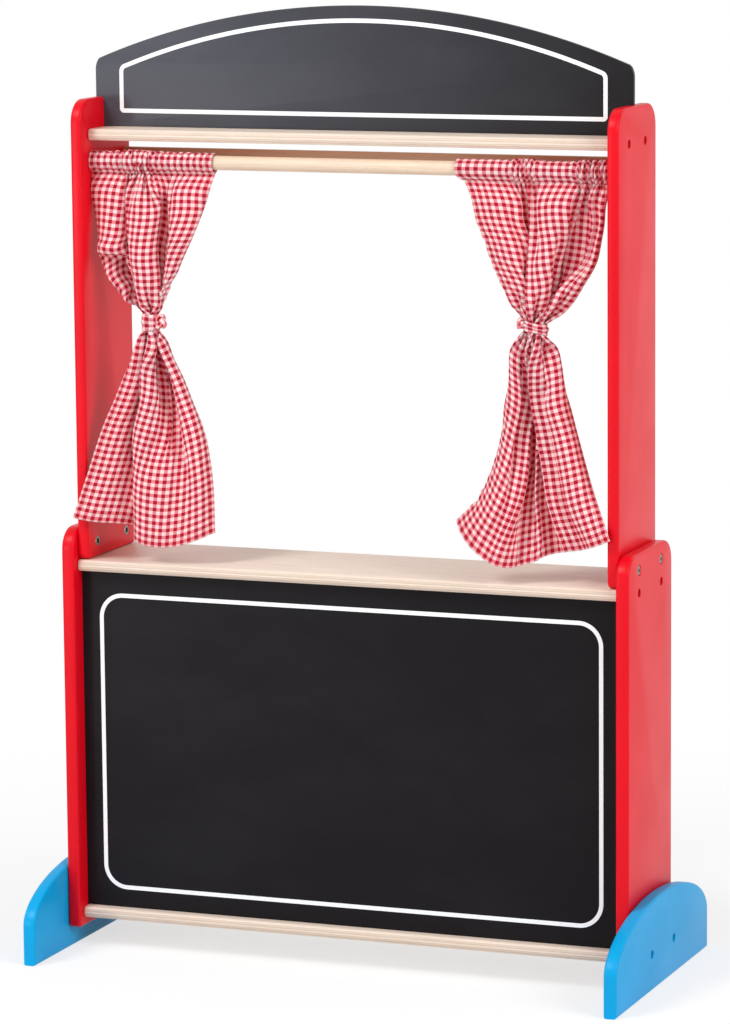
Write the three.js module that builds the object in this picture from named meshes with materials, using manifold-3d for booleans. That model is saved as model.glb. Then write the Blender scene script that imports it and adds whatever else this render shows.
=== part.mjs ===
// Puppet theater stand: a lower frame with a chalk panel and a counter, an upper frame with a chalk
// sign board, a curtain rod and a rear rail, and a pair of tied-back gingham curtains on the rod.
// Millimetres, +Z up, the front faces -Y. The origin is on the floor under the middle of the stand.
import * as THREE from "three";
import { mergeVertices } from "three/addons/utils/BufferGeometryUtils.js";
import Module from "manifold-3d";

const wasm = await Module();
wasm.setup();

// Fits
const seatGap = 0.3; // between two faces that touch
const pocketClearance = 0.6; // curtain pocket round its rod
const cutOverrun = 2; // how far a cut runs past the face that it opens

// Frame widths and thicknesses
const windowWidth = 620; // between the inner faces of the upper posts
const postThickness = 13;
const sideThickness = 15;
const footThickness = 15;
const boardThickness = 13; // plywood of the counter and the shelves
const chalkboardThickness = 6;
const paintedArris = 3; // rounding of the painted edges
const boardArris = 2; // rounding of the plywood ends
const chalkboardArris = 0.8;

// Feet
const footLength = 338;
const footHeight = 102.5;
const footEndHeight = 45; // straight part of each end, under the arch

// Lower sides
const floorClearance = 24.5;
const sideDepth = 158;
const sideRise = 37; // above the counter
const sideTopRadius = 25;
const sideBottomRadius = 6;

// Counter and bottom shelf
const boardDepth = 145;
const boardNoseRadius = 5;
const boardBackInset = 3; // from the back edges of the lower sides
const shelfRise = 10.3; // above the bottom edges of the lower sides

// Front chalk panel
const panelHeight = 391.1;
const panelSetback = 23; // from the front edges of the lower sides
const panelHousing = 5; // how far it reaches into each lower side
const panelCornerRadius = 1.5;

// Upper posts
const postDepth = 135;
const postHeight = 522;
const postTopRadius = 26;
const postBottomRadius = 9;

// Top shelf
const topShelfDepth = 98;
const topShelfDrop = 33.3; // from the top of the posts to its top face

// Sign board
const signHeight = 138.2;
const signHousing = 9.5; // how far it reaches into each post
const signArchRadius = 837;
const signShoulderRadius = 17; // where the arch meets the ends

// Curtain rod
const rodRadius = 8;
const rodDrop = 23; // from the top shelf down to the rod's axis
const rodForward = 38; // from the middle of the posts
const rodHousing = 8; // how far the rod reaches into each post
const rodChamfer = 1;

// Rear rail
const railSetback = 50; // from the middle of the posts to its front face
const railDrop = 14.5; // from the top shelf down to its upper edge
const railHeight = 22;
const railThickness = 9;
const railHousing = 8; // how far the rail reaches into each post
const railArris = 1.2;

// Frame bolts and their sleeve nuts
const boltSpacing = 80;
const boltShankRadius = 3;
const boltHeadRadius = 5.8;
const boltHeadHeight = 2.2;
const boltHeadRound = 0.7;
const boltRecessDepth = 3;
const boltLength = 23;
const boltTipChamfer = 0.8;
const socketRadius = 2.4;
const socketDepth = 1.5;
const nutSleeveRadius = 4.3;
const nutSleeveLength = 9;
const nutHeadRadius = 6;
const nutHeadHeight = 1.5;
const nutHeadRound = 0.5;
const nutRecessDepth = 1.8;

// Wood screws
const screwShankRadius = 2;
const screwHeadRadius = 4.1;
const screwHeadHeight = 2.6;
const screwHeadRound = 1;
const screwTipLength = 5;
const screwLength = 38;
const footScrewLength = 52;
const screwRecessRadius = 4.8;
const screwRecessDepth = 6;
const boardScrewSpacing = 80;
const topShelfScrewSpacing = 57;

// Curtain cloth
const pocketRadius = 10.8;
const pocketRuffle = 0.7; // how far the gathers of the pocket stand out
const clothBulk = 4.4; // front of the folded cloth to its back
const clothEdge = 1.4;
const clothSeat = 1.2; // how deep the cloth runs into the pocket's wall
const bundleHalfWidth = 11.5; // the gathered cloth inside its tie
const bundleHalfDepth = 8.5;
const bundleBlend = 60; // above and below the tie, where the bundle opens into folds
const tieForward = 5; // the bundle's axis in front of the rod's
const hemForward = 13; // the hem's middle line in front of the rod's axis
const pocketFold = 2.4; // half the depth of the folds under the pocket
const upperFold = 13; // between the pocket and the tie
const hemFold = 27; // at the hem
const pocketEndGap = 1.5; // from the pocket's end to the post

// Ties
const tieHeight = 20;
const tieThickness = 3;
const tieRound = 1;
const tieGap = 0.5;
const knotRadius = 7.5;
const knotSink = 5; // the knot's middle inside the band's surface

// The two curtains: each edge's travel from pocket to tie and from tie to hem is a row of shares at
// even steps, each row of folds is a list of places across the cloth with how far forward they lie, and
// the lean moves the lower folds towards the outer edge as they near the tie
const leftCurtain = {
  towardsCentre: 1,
  pocketWidth: 146,
  tieInset: 75, // from the post's inner face to the tie's axis
  tieDrop: 183.5, // from the rod's axis to the middle of the tie
  hemOuterReach: -10, // from the post's inner face to the outer hem corner, negative in front of the post
  hemInnerReach: 153,
  hemClearance: 22, // from the counter to the lowest part of the hem
  hemRise: 26,
  outerUpperShares: [0, 0.04, 0.09, 0.14, 0.42, 1],
  innerUpperShares: [0, 0.16, 0.37, 0.62, 0.88, 1],
  outerLowerShares: [0, 0.2, 0.42, 0.64, 0.85, 1],
  innerLowerShares: [0, 0.38, 0.68, 0.9, 0.97, 1],
  hemRiseShares: [1, 0.8, 0.45, 0.04, 0.12, 0.7],
  upperFoldShares: [[0, 0.3], [0.13, 0.9], [0.2, 0.5], [0.28, -1], [0.37, 0.7], [0.48, 1], [0.58, 0.4],
    [0.66, -1], [0.76, 0.6], [0.88, 0.8], [1, -0.2]],
  lowerFoldShares: [[0, 1], [0.14, 1], [0.26, 0.55], [0.36, -1], [0.46, 0.7], [0.6, 1], [0.74, 0.75],
    [0.87, 0.9], [1, 0.1]],
  lowerFoldLean: 0.3,
};
const rightCurtain = {
  towardsCentre: -1,
  pocketWidth: 176,
  tieInset: 90,
  tieDrop: 171.5,
  hemOuterReach: -3,
  hemInnerReach: 175,
  hemClearance: 19,
  hemRise: 49,
  outerUpperShares: [0, 0.1, 0.17, 0.27, 0.58, 1],
  innerUpperShares: [0, 0.27, 0.43, 0.61, 0.82, 1],
  outerLowerShares: [0, 0.3, 0.5, 0.67, 0.85, 1],
  innerLowerShares: [0, 0.21, 0.28, 0.36, 0.57, 1],
  hemRiseShares: [0.73, 0.43, 0.22, 0, 0.2, 1],
  upperFoldShares: [[0, 0], [0.06, 0.7], [0.13, 0.3], [0.21, -1], [0.3, 0.4], [0.4, 1], [0.5, 0.7],
    [0.58, -0.4], [0.67, -1], [0.76, 0.6], [0.87, 1], [1, 0.3]],
  lowerFoldShares: [[0, 0.95], [0.1, 0.9], [0.2, 0.1], [0.31, -0.85], [0.43, -0.9], [0.53, -0.2],
    [0.6, 0.9], [0.75, 1], [0.9, 0.7], [1, 0.2]],
  lowerFoldLean: -0.2,
};

// Facet counts
const arcSteps = 4;
const archSteps = 12;
const arrisSteps = 2;
const holeSides = 14;
const turnedSides = 12;
const rodSides = 24;
const knotSides = 14;
const socketSides = 6;
const clothColumns = 24;
const upperClothRows = 7;
const lowerClothRows = 8;
const pocketSteps = 14;
const pocketSides = 12;
const tieSides = 24;

// Places across the stand
const postInner = windowWidth / 2;
const postOuter = postInner + postThickness;
const sideInner = postOuter + seatGap;
const sideOuter = sideInner + sideThickness;
const footInner = sideOuter + seatGap;
const footOuter = footInner + footThickness;
const boardHalfLength = sideInner - seatGap;

// Heights
const shelfBottom = floorClearance + shelfRise;
const shelfTop = shelfBottom + boardThickness;
const panelBottom = shelfTop + seatGap;
const panelTop = panelBottom + panelHeight;
const counterBottom = panelTop + seatGap;
const counterTop = counterBottom + boardThickness;
const sideTop = counterTop + sideRise;
const postBottom = counterTop + seatGap;
const postTop = postBottom + postHeight;
const topShelfTop = postTop - topShelfDrop;
const topShelfBottom = topShelfTop - boardThickness;
const signBottom = topShelfTop + seatGap;
const signTop = signBottom + signHeight;
const rodHeight = topShelfBottom - rodDrop;
const railTop = topShelfBottom - railDrop;
const railBottom = railTop - railHeight;
const boltHeight = counterTop + sideRise / 2;
const counterScrewHeight = (counterBottom + counterTop) / 2;
const shelfScrewHeight = (shelfBottom + shelfTop) / 2;
const topShelfScrewHeight = (topShelfBottom + topShelfTop) / 2;

// Depths
const boardBack = sideDepth / 2 - boardBackInset;
const boardFront = boardBack - boardDepth;
const panelFront = -sideDepth / 2 + panelSetback;
const panelBack = panelFront + chalkboardThickness;
const rodDepth = -rodForward;

// Finishes
const finish = (color, roughness, metalness) => new THREE.MeshStandardMaterial({ color, roughness, metalness });
const redPaint = () => finish(0xdc1430, 0.35, 0);
const bluePaint = () => finish(0x06a0da, 0.35, 0);
const chalkboardPaint = () => finish(0x1f1d21, 0.75, 0);
const plywood = () => finish(0xdcc6b4, 0.6, 0);
const beech = () => finish(0xe2c3a2, 0.55, 0);
const gingham = () => finish(0xe08a92, 0.95, 0);
const steel = () => finish(0xb9b4ac, 0.35, 1);

// Directions in which an outline is thickened
const alongX = new THREE.Vector3(1, 0, 0);
const alongY = new THREE.Vector3(0, 1, 0);
const alongZ = new THREE.Vector3(0, 0, 1);
const outlineYZ = new THREE.Matrix4().makeBasis(alongY, alongZ, alongX);
const outlineXZ = new THREE.Matrix4().makeBasis(alongX, alongZ, alongY.clone().negate());

// A closed geometry as a solid that can be joined and cut
function solidOf(geometry) {
  const bare = geometry.clone();
  bare.deleteAttribute("normal");
  bare.deleteAttribute("uv");
  const merged = mergeVertices(bare);
  return new wasm.Manifold(new wasm.Mesh({
    numProp: 3,
    vertProperties: merged.attributes.position.array,
    triVerts: new Uint32Array(merged.index.array),
  }));
}

// A solid as an indexed geometry
function geometryOf(solid) {
  const { numProp, numVert, vertProperties, triVerts } = solid.getMesh();
  const places = new Float32Array(numVert * 3);
  for (let i = 0; i < numVert; i++) {
    places.set(vertProperties.subarray(i * numProp, i * numProp + 3), i * 3);
  }
  const geometry = new THREE.BufferGeometry();
  geometry.setAttribute("position", new THREE.BufferAttribute(places, 3));
  geometry.setIndex(new THREE.BufferAttribute(triVerts, 1));
  geometry.computeVertexNormals();
  return geometry;
}

function cut(geometry, cutters) {
  const start = solidOf(geometry);
  return geometryOf(cutters.reduce((left, cutter) => left.subtract(solidOf(cutter)), start));
}

function join(geometries) {
  const [first, ...others] = geometries.map(solidOf);
  return geometryOf(others.reduce((whole, other) => whole.add(other), first));
}

// The same piece for the other side of the stand
function mirrored(geometry) {
  const other = geometry.clone().scale(-1, 1, 1);
  const corners = other.index.array;
  for (let i = 0; i < corners.length; i += 3) {
    [corners[i + 1], corners[i + 2]] = [corners[i + 2], corners[i + 1]];
  }
  other.computeVertexNormals();
  return other;
}

// A rectangle with one radius at its lower corners and one at its upper corners
function roundedOutline(left, right, bottom, top, bottomRadius, topRadius) {
  const outline = new THREE.Shape();
  outline.absarc(left + bottomRadius, bottom + bottomRadius, bottomRadius, Math.PI, 1.5 * Math.PI);
  outline.absarc(right - bottomRadius, bottom + bottomRadius, bottomRadius, 1.5 * Math.PI, 2 * Math.PI);
  outline.absarc(right - topRadius, top - topRadius, topRadius, 0, Math.PI / 2);
  outline.absarc(left + topRadius, top - topRadius, topRadius, Math.PI / 2, Math.PI);
  return outline;
}

// An outline thickened between two planes, with its edges rounded on both faces
function thickened(outline, from, to, arris, directions, steps = arcSteps) {
  const geometry = new THREE.ExtrudeGeometry(outline, {
    depth: to - from - 2 * arris,
    bevelThickness: arris,
    bevelSize: arris,
    bevelOffset: -arris,
    bevelSegments: arrisSteps,
    curveSegments: steps,
  });
  return geometry.translate(0, 0, from + arris).applyMatrix4(directions);
}

function holeAlongX(radius, from, to, depth, height) {
  return new THREE.CylinderGeometry(radius, radius, to - from, holeSides)
    .rotateZ(-Math.PI / 2)
    .translate((from + to) / 2, depth, height);
}

function block(left, right, front, back, bottom, top) {
  return new THREE.BoxGeometry(right - left, back - front, top - bottom)
    .translate((left + right) / 2, (front + back) / 2, (bottom + top) / 2);
}

// A turned piece about the X axis, from a profile of radius and distance along X
function turned(profile, sides = turnedSides) {
  const points = profile.map(([radius, along]) => new THREE.Vector2(radius, along));
  return geometryOf(solidOf(new THREE.LatheGeometry(points, sides).rotateZ(-Math.PI / 2)));
}

// The places front and back of a pair of fasteners
const pairOf = (spacing) => [-spacing / 2, spacing / 2];

// The recess, shank and pilot cuts of the wood screws, for a recess in the face at outerFace
function screwCuts(outerFace, spacing, height, length) {
  const seat = outerFace - screwRecessDepth;
  return pairOf(spacing).flatMap((depth) => [
    holeAlongX(screwRecessRadius, seat, outerFace + cutOverrun, depth, height),
    holeAlongX(screwShankRadius + seatGap, seat - length - seatGap, outerFace, depth, height),
  ]);
}

function boltCuts() {
  const nutSeat = postInner + nutRecessDepth;
  return pairOf(boltSpacing).flatMap((depth) => [
    holeAlongX(boltHeadRadius + seatGap, sideOuter - boltRecessDepth, sideOuter + cutOverrun, depth, boltHeight),
    holeAlongX(boltShankRadius + seatGap, postInner, sideOuter, depth, boltHeight),
    holeAlongX(nutHeadRadius + seatGap, postInner - cutOverrun, nutSeat, depth, boltHeight),
    holeAlongX(nutSleeveRadius + seatGap, postInner, postOuter - seatGap, depth, boltHeight),
  ]);
}

// Feet: straight ends under half an ellipse
function foot() {
  const outline = new THREE.Shape();
  outline.moveTo(-footLength / 2, 0);
  outline.lineTo(footLength / 2, 0);
  outline.absellipse(0, footEndHeight, footLength / 2, footHeight - footEndHeight, 0, Math.PI, false, 0);
  const plate = thickened(outline, footInner, footOuter, paintedArris, outlineYZ, archSteps);
  return cut(plate, screwCuts(footOuter, boardScrewSpacing, shelfScrewHeight, footScrewLength));
}

// Lower sides: a groove for the chalk panel, stopped at the shelf and the counter
function lowerSide() {
  const outline = roundedOutline(
    -sideDepth / 2, sideDepth / 2, floorClearance, sideTop, sideBottomRadius, sideTopRadius);
  const plate = thickened(outline, sideInner, sideOuter, paintedArris, outlineYZ);
  const groove = block(
    sideInner - cutOverrun, sideInner + panelHousing + seatGap,
    panelFront - seatGap, panelBack + seatGap,
    panelBottom - seatGap, panelTop + seatGap);
  return cut(plate, [
    groove,
    ...boltCuts(),
    ...screwCuts(sideOuter, boardScrewSpacing, counterScrewHeight, screwLength),
    ...screwCuts(footOuter, boardScrewSpacing, shelfScrewHeight, footScrewLength),
  ]);
}

// Upper posts: blind bores for the rod, blind mortices for the rail and a groove, open at the top, for
// the sign board
function upperPost() {
  const outline = roundedOutline(
    -postDepth / 2, postDepth / 2, postBottom, postTop, postBottomRadius, postTopRadius);
  const plate = thickened(outline, postInner, postOuter, paintedArris, outlineYZ);
  const groove = block(
    postInner - cutOverrun, postInner + signHousing + seatGap,
    -chalkboardThickness / 2 - seatGap, chalkboardThickness / 2 + seatGap,
    topShelfTop, postTop + cutOverrun);
  const rodBore = holeAlongX(
    rodRadius + seatGap, postInner - cutOverrun, postInner + rodHousing + seatGap, rodDepth, rodHeight);
  const mortice = block(
    postInner - cutOverrun, postInner + railHousing + seatGap,
    railSetback - seatGap, railSetback + railThickness + seatGap,
    railBottom - seatGap, railTop + seatGap);
  return cut(plate, [
    groove,
    rodBore,
    mortice,
    ...boltCuts(),
    ...screwCuts(postOuter, topShelfScrewSpacing, topShelfScrewHeight, screwLength),
  ]);
}

// A plywood board with rounded front and back edges, bored at both ends for its screws
function board(halfLength, front, back, bottom, top, cuts) {
  const outline = roundedOutline(front, back, bottom, top, boardNoseRadius, boardNoseRadius);
  const plate = thickened(outline, -halfLength, halfLength, boardArris, outlineYZ);
  const bored = cut(plate, cuts);
  return cut(bored, cuts.map((piece) => mirrored(geometryOf(solidOf(piece)))));
}

function counter() {
  const cuts = screwCuts(sideOuter, boardScrewSpacing, counterScrewHeight, screwLength);
  return board(boardHalfLength, boardFront, boardBack, counterBottom, counterTop, cuts);
}

function bottomShelf() {
  const cuts = screwCuts(footOuter, boardScrewSpacing, shelfScrewHeight, footScrewLength);
  return board(boardHalfLength, boardFront, boardBack, shelfBottom, shelfTop, cuts);
}

function topShelf() {
  const cuts = screwCuts(postOuter, topShelfScrewSpacing, topShelfScrewHeight, screwLength);
  const half = topShelfDepth / 2;
  return board(postInner - seatGap, -half, half, topShelfBottom, topShelfTop, cuts);
}

function frontPanel() {
  const halfWidth = sideInner + panelHousing;
  const outline = roundedOutline(
    -halfWidth, halfWidth, panelBottom, panelTop, panelCornerRadius, panelCornerRadius);
  return thickened(outline, -panelBack, -panelFront, chalkboardArris, outlineXZ);
}

// Sign board: a long arch whose ends turn down over small shoulders
function signBoard() {
  const halfWidth = postInner + signHousing;
  const archCentre = signTop - signArchRadius;
  const shoulderAcross = halfWidth - signShoulderRadius;
  const shoulderReach = signArchRadius - signShoulderRadius;
  const shoulderUp = Math.sqrt(shoulderReach ** 2 - shoulderAcross ** 2);
  const shoulderHeight = archCentre + shoulderUp;
  const shoulderAngle = Math.atan2(shoulderUp, shoulderAcross);
  const outline = new THREE.Shape();
  outline.moveTo(-halfWidth, signBottom);
  outline.lineTo(halfWidth, signBottom);
  outline.absarc(shoulderAcross, shoulderHeight, signShoulderRadius, 0, shoulderAngle);
  outline.absarc(0, archCentre, signArchRadius, shoulderAngle, Math.PI - shoulderAngle);
  outline.absarc(-shoulderAcross, shoulderHeight, signShoulderRadius, Math.PI - shoulderAngle, Math.PI);
  const half = chalkboardThickness / 2;
  return thickened(outline, -half, half, chalkboardArris, outlineXZ, archSteps);
}

function curtainRod() {
  const end = postInner + rodHousing;
  const profile = [
    [0, -end],
    [rodRadius - rodChamfer, -end],
    [rodRadius, rodChamfer - end],
    [rodRadius, end - rodChamfer],
    [rodRadius - rodChamfer, end],
    [0, end],
  ];
  return turned(profile, rodSides).translate(0, rodDepth, rodHeight);
}

function rearRail() {
  const end = postInner + railHousing;
  const outline = new THREE.Shape();
  outline.moveTo(railSetback, railBottom);
  outline.lineTo(railSetback + railThickness, railBottom);
  outline.lineTo(railSetback + railThickness, railTop);
  outline.lineTo(railSetback, railTop);
  return thickened(outline, -end, end, railArris, outlineYZ);
}

// Frame bolt: its head seats at X = 0 and its shank points to -X
function frameBolt() {
  const body = turned([
    [0, -boltLength],
    [boltShankRadius - boltTipChamfer, -boltLength],
    [boltShankRadius, boltTipChamfer - boltLength],
    [boltShankRadius, 0],
    [boltHeadRadius, 0],
    [boltHeadRadius, boltHeadHeight - boltHeadRound],
    [boltHeadRadius - boltHeadRound, boltHeadHeight],
    [0, boltHeadHeight],
  ]);
  const socket = new THREE.CylinderGeometry(
    socketRadius, socketRadius, 2 * socketDepth, socketSides).rotateZ(-Math.PI / 2);
  return cut(body, [socket.translate(boltHeadHeight, 0, 0)]);
}

// Sleeve nut: its head seats at X = 0 and its sleeve points to +X
function sleeveNut() {
  const bore = boltShankRadius + seatGap;
  return turned([
    [bore, -nutHeadHeight],
    [nutHeadRadius - nutHeadRound, -nutHeadHeight],
    [nutHeadRadius, nutHeadRound - nutHeadHeight],
    [nutHeadRadius, 0],
    [nutSleeveRadius, 0],
    [nutSleeveRadius, nutSleeveLength],
    [bore, nutSleeveLength],
    [bore, -nutHeadHeight],
  ]);
}

// Wood screw: its head seats at X = 0 and its tip points to -X
function woodScrew(length) {
  return turned([
    [0, -length],
    [screwShankRadius, screwTipLength - length],
    [screwShankRadius, 0],
    [screwHeadRadius, 0],
    [screwHeadRadius, screwHeadHeight - screwHeadRound],
    [screwHeadRadius - screwHeadRound, screwHeadHeight],
    [0, screwHeadHeight],
  ]);
}

const mix = (from, to, share) => from + (to - from) * share;
const smooth = (share) => share * share * (3 - 2 * share);
const within = (value) => Math.min(1, Math.max(0, value));

// A smooth line through [place, value] pairs
function throughPairs(pairs, place) {
  const last = pairs.length - 1;
  const step = Math.min(last - 1, Math.max(0, pairs.findIndex(([next]) => next > place) - 1));
  const i = place >= pairs[last][0] ? last - 1 : step;
  const slope = (k) => {
    const [before, after] = [pairs[Math.max(0, k - 1)], pairs[Math.min(last, k + 1)]];
    return (after[1] - before[1]) / (after[0] - before[0]);
  };
  const width = pairs[i + 1][0] - pairs[i][0];
  const t = (place - pairs[i][0]) / width;
  return pairs[i][1] * (1 - smooth(t)) + pairs[i + 1][1] * smooth(t)
    + slope(i) * width * t * (1 - t) ** 2 - slope(i + 1) * width * t * t * (1 - t);
}

const throughShares = (shares, place) => throughPairs(
  shares.map((share, i) => [i / (shares.length - 1), share]), place);

// Stages down the cloth: 0 at the pocket, then the tie's upper and lower edges, and one more at the hem
const tieTopStage = 1;
const tieBottomStage = 2;

// The cloth's middle surface: across runs from the outer edge to the inner one, and stage down the cloth
function clothPoint(curtain, across, stage) {
  const side = curtain.towardsCentre;
  const post = -side * postInner;
  const tieAcross = curtain.tieInset;
  const upper = within(stage);
  const lower = within(stage - tieBottomStage);
  const aboveTie = stage < tieBottomStage;
  const edge = (start, upperShares, bundle, lowerShares, end) => (aboveTie
    ? mix(start, bundle, throughShares(upperShares, upper))
    : mix(bundle, end, throughShares(lowerShares, lower)));
  const outer = edge(pocketEndGap, curtain.outerUpperShares, tieAcross - bundleHalfWidth,
    curtain.outerLowerShares, curtain.hemOuterReach);
  const inner = edge(pocketEndGap + curtain.pocketWidth, curtain.innerUpperShares,
    tieAcross + bundleHalfWidth, curtain.innerLowerShares, curtain.hemInnerReach);
  const pocketBottom = rodHeight - pocketRadius + clothSeat;
  const tieTop = rodHeight - curtain.tieDrop + tieHeight / 2;
  const hemBottom = counterTop + curtain.hemClearance;
  const hem = hemBottom + curtain.hemRise * throughShares(curtain.hemRiseShares, across);
  const height = aboveTie
    ? mix(pocketBottom, tieTop, upper) - tieHeight * within(stage - tieTopStage)
    : mix(tieTop - tieHeight, hem, lower);
  const tieDepth = rodDepth - tieForward;
  const middle = aboveTie
    ? mix(rodDepth, tieDepth, upper)
    : mix(tieDepth, rodDepth - hemForward, lower);
  const leaned = across + curtain.lowerFoldLean * (1 - lower) * 4 * across * (1 - across);
  const fold = aboveTie
    ? throughPairs(curtain.upperFoldShares, across)
      * (pocketFold * (1 - upper) + upperFold * Math.sin(Math.PI * upper))
    : throughPairs(curtain.lowerFoldShares, leaned) * hemFold * (1 - (1 - lower) ** 2);
  const fromTie = Math.max(0, height - tieTop, tieTop - tieHeight - height);
  const bundled = 1 - smooth(within(fromTie / bundleBlend));
  const round = Math.sqrt(Math.max(0, 1 - (2 * across - 1) ** 2));
  const bulk = mix(clothBulk, clothEdge + 2 * (bundleHalfDepth - clothEdge) * round, bundled);
  return { x: post + side * mix(outer, inner, across), y: middle - fold, z: height, bulk };
}

// The hanging cloth: a front and a back skin over one grid, closed round its edges
function hangingCloth(curtain) {
  const stages = [];
  for (let row = 0; row <= upperClothRows; row++) stages.push(row / upperClothRows);
  for (let row = 0; row <= lowerClothRows; row++) stages.push(tieBottomStage + row / lowerClothRows);
  const perRow = clothColumns + 1;
  const perSkin = perRow * stages.length;
  const places = [];
  for (const skin of [-1, 1]) {
    for (const stage of stages) {
      for (let column = 0; column <= clothColumns; column++) {
        const point = clothPoint(curtain, column / clothColumns, stage);
        places.push(point.x, point.y + (skin * point.bulk) / 2, point.z);
      }
    }
  }
  const faces = [];
  const quad = (a, b, c, d) => faces.push(a, b, c, a, c, d);
  for (let row = 0; row < stages.length - 1; row++) {
    for (let column = 0; column < clothColumns; column++) {
      const at = row * perRow + column;
      quad(at, at + perRow, at + perRow + 1, at + 1);
      quad(perSkin + at, perSkin + at + 1, perSkin + at + perRow + 1, perSkin + at + perRow);
    }
    const first = row * perRow;
    const final = first + clothColumns;
    quad(first, perSkin + first, perSkin + first + perRow, first + perRow);
    quad(final, final + perRow, perSkin + final + perRow, perSkin + final);
  }
  const lastRow = perSkin - perRow;
  for (let column = 0; column < clothColumns; column++) {
    quad(column, column + 1, perSkin + column + 1, perSkin + column);
    const low = lastRow + column;
    quad(low, perSkin + low, perSkin + low + 1, low + 1);
  }
  const geometry = new THREE.BufferGeometry();
  geometry.setAttribute("position", new THREE.BufferAttribute(new Float32Array(places), 3));
  geometry.setIndex(faces);
  return curtain.towardsCentre > 0 ? geometry : turnedOver(geometry);
}

// The same surface with its faces turned the other way
function turnedOver(geometry) {
  const corners = geometry.index.array;
  for (let i = 0; i < corners.length; i += 3) {
    [corners[i + 1], corners[i + 2]] = [corners[i + 2], corners[i + 1]];
  }
  return geometry;
}

// The pocket: a ruffled tube round the rod
function pocket(curtain) {
  const start = -curtain.towardsCentre * (postInner - pocketEndGap);
  const end = start + curtain.towardsCentre * curtain.pocketWidth;
  const left = Math.min(start, end);
  const bore = rodRadius + pocketClearance;
  const profile = [[bore, 0]];
  for (let step = 0; step <= pocketSteps; step++) {
    const ruffle = step % 2 ? pocketRuffle : 0;
    profile.push([pocketRadius + ruffle, (step / pocketSteps) * curtain.pocketWidth]);
  }
  profile.push([bore, curtain.pocketWidth], [bore, 0]);
  return turned(profile, pocketSides).translate(left, rodDepth, rodHeight);
}

function curtainCloth(curtain) {
  const whole = join([hangingCloth(curtain), pocket(curtain)]);
  const bore = rodRadius + pocketClearance;
  return cut(whole, [holeAlongX(bore, -postInner, postInner, rodDepth, rodHeight)]);
}

// Tie: a band round the bundle, with its knot on the side of the window
function curtainTie(curtain) {
  const inner = bundleHalfWidth + tieGap;
  const depthShare = (bundleHalfDepth + tieGap) / inner;
  const outer = inner + tieThickness;
  const half = tieHeight / 2;
  const ring = new THREE.LatheGeometry([
    new THREE.Vector2(inner, -half),
    new THREE.Vector2(outer - tieRound, -half),
    new THREE.Vector2(outer, tieRound - half),
    new THREE.Vector2(outer, half - tieRound),
    new THREE.Vector2(outer - tieRound, half),
    new THREE.Vector2(inner, half),
    new THREE.Vector2(inner, -half),
  ], tieSides).rotateX(Math.PI / 2).scale(1, depthShare, 1);
  const knot = new THREE.SphereGeometry(knotRadius, knotSides, knotSides / 2)
    .translate(curtain.towardsCentre * (outer - knotSink), 0, 0);
  const opening = new THREE.CylinderGeometry(inner, inner, 2 * tieHeight, tieSides)
    .rotateX(Math.PI / 2)
    .scale(1, depthShare, 1);
  const across = curtain.towardsCentre * (curtain.tieInset - postInner);
  return cut(join([ring, knot]), [opening])
    .translate(across, rodDepth - tieForward, rodHeight - curtain.tieDrop);
}

const stand = new THREE.Group();

function add(name, geometry, material, x = 0, y = 0, z = 0) {
  const mesh = new THREE.Mesh(geometry, material);
  mesh.name = name;
  mesh.position.set(x, y, z);
  stand.add(mesh);
}

// A piece on the right of the stand and its mirror image on the left
function addPair(name, geometry, material, x = 0, y = 0, z = 0) {
  add(name + "_right", geometry, material(), x, y, z);
  add(name + "_left", mirrored(geometry), material(), -x, y, z);
}

// Four like fasteners: front and back, on both sides
function addFasteners(name, geometry, x, spacing, z) {
  const [front, back] = pairOf(spacing);
  addPair(name + "_front", geometry, steel, x, front, z);
  addPair(name + "_back", geometry, steel, x, back, z);
}

addPair("foot", foot(), bluePaint);
addPair("lower_side", lowerSide(), redPaint);
addPair("upper_post", upperPost(), redPaint);
add("bottom_shelf", bottomShelf(), plywood());
add("counter", counter(), plywood());
add("top_shelf", topShelf(), plywood());
add("front_panel", frontPanel(), chalkboardPaint());
add("sign_board", signBoard(), chalkboardPaint());
add("curtain_rod", curtainRod(), beech());
add("rear_rail", rearRail(), plywood());
add("curtain_left", curtainCloth(leftCurtain), gingham());
add("curtain_right", curtainCloth(rightCurtain), gingham());
add("tie_left", curtainTie(leftCurtain), gingham());
add("tie_right", curtainTie(rightCurtain), gingham());
addFasteners("post_bolt", frameBolt(), sideOuter - boltRecessDepth + seatGap, boltSpacing, boltHeight);
addFasteners("post_nut", sleeveNut(), postInner + nutRecessDepth - seatGap, boltSpacing, boltHeight);
const screwSeat = seatGap - screwRecessDepth;
addFasteners("counter_screw", woodScrew(screwLength), sideOuter + screwSeat, boardScrewSpacing,
  counterScrewHeight);
addFasteners("foot_screw", woodScrew(footScrewLength), footOuter + screwSeat, boardScrewSpacing,
  shelfScrewHeight);
addFasteners("shelf_screw", woodScrew(screwLength), postOuter + screwSeat, topShelfScrewSpacing,
  topShelfScrewHeight);

export default stand;
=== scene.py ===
"""Puppet theater stand: the finish of every piece, the gingham curtains and a plain studio, built around
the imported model."""

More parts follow.
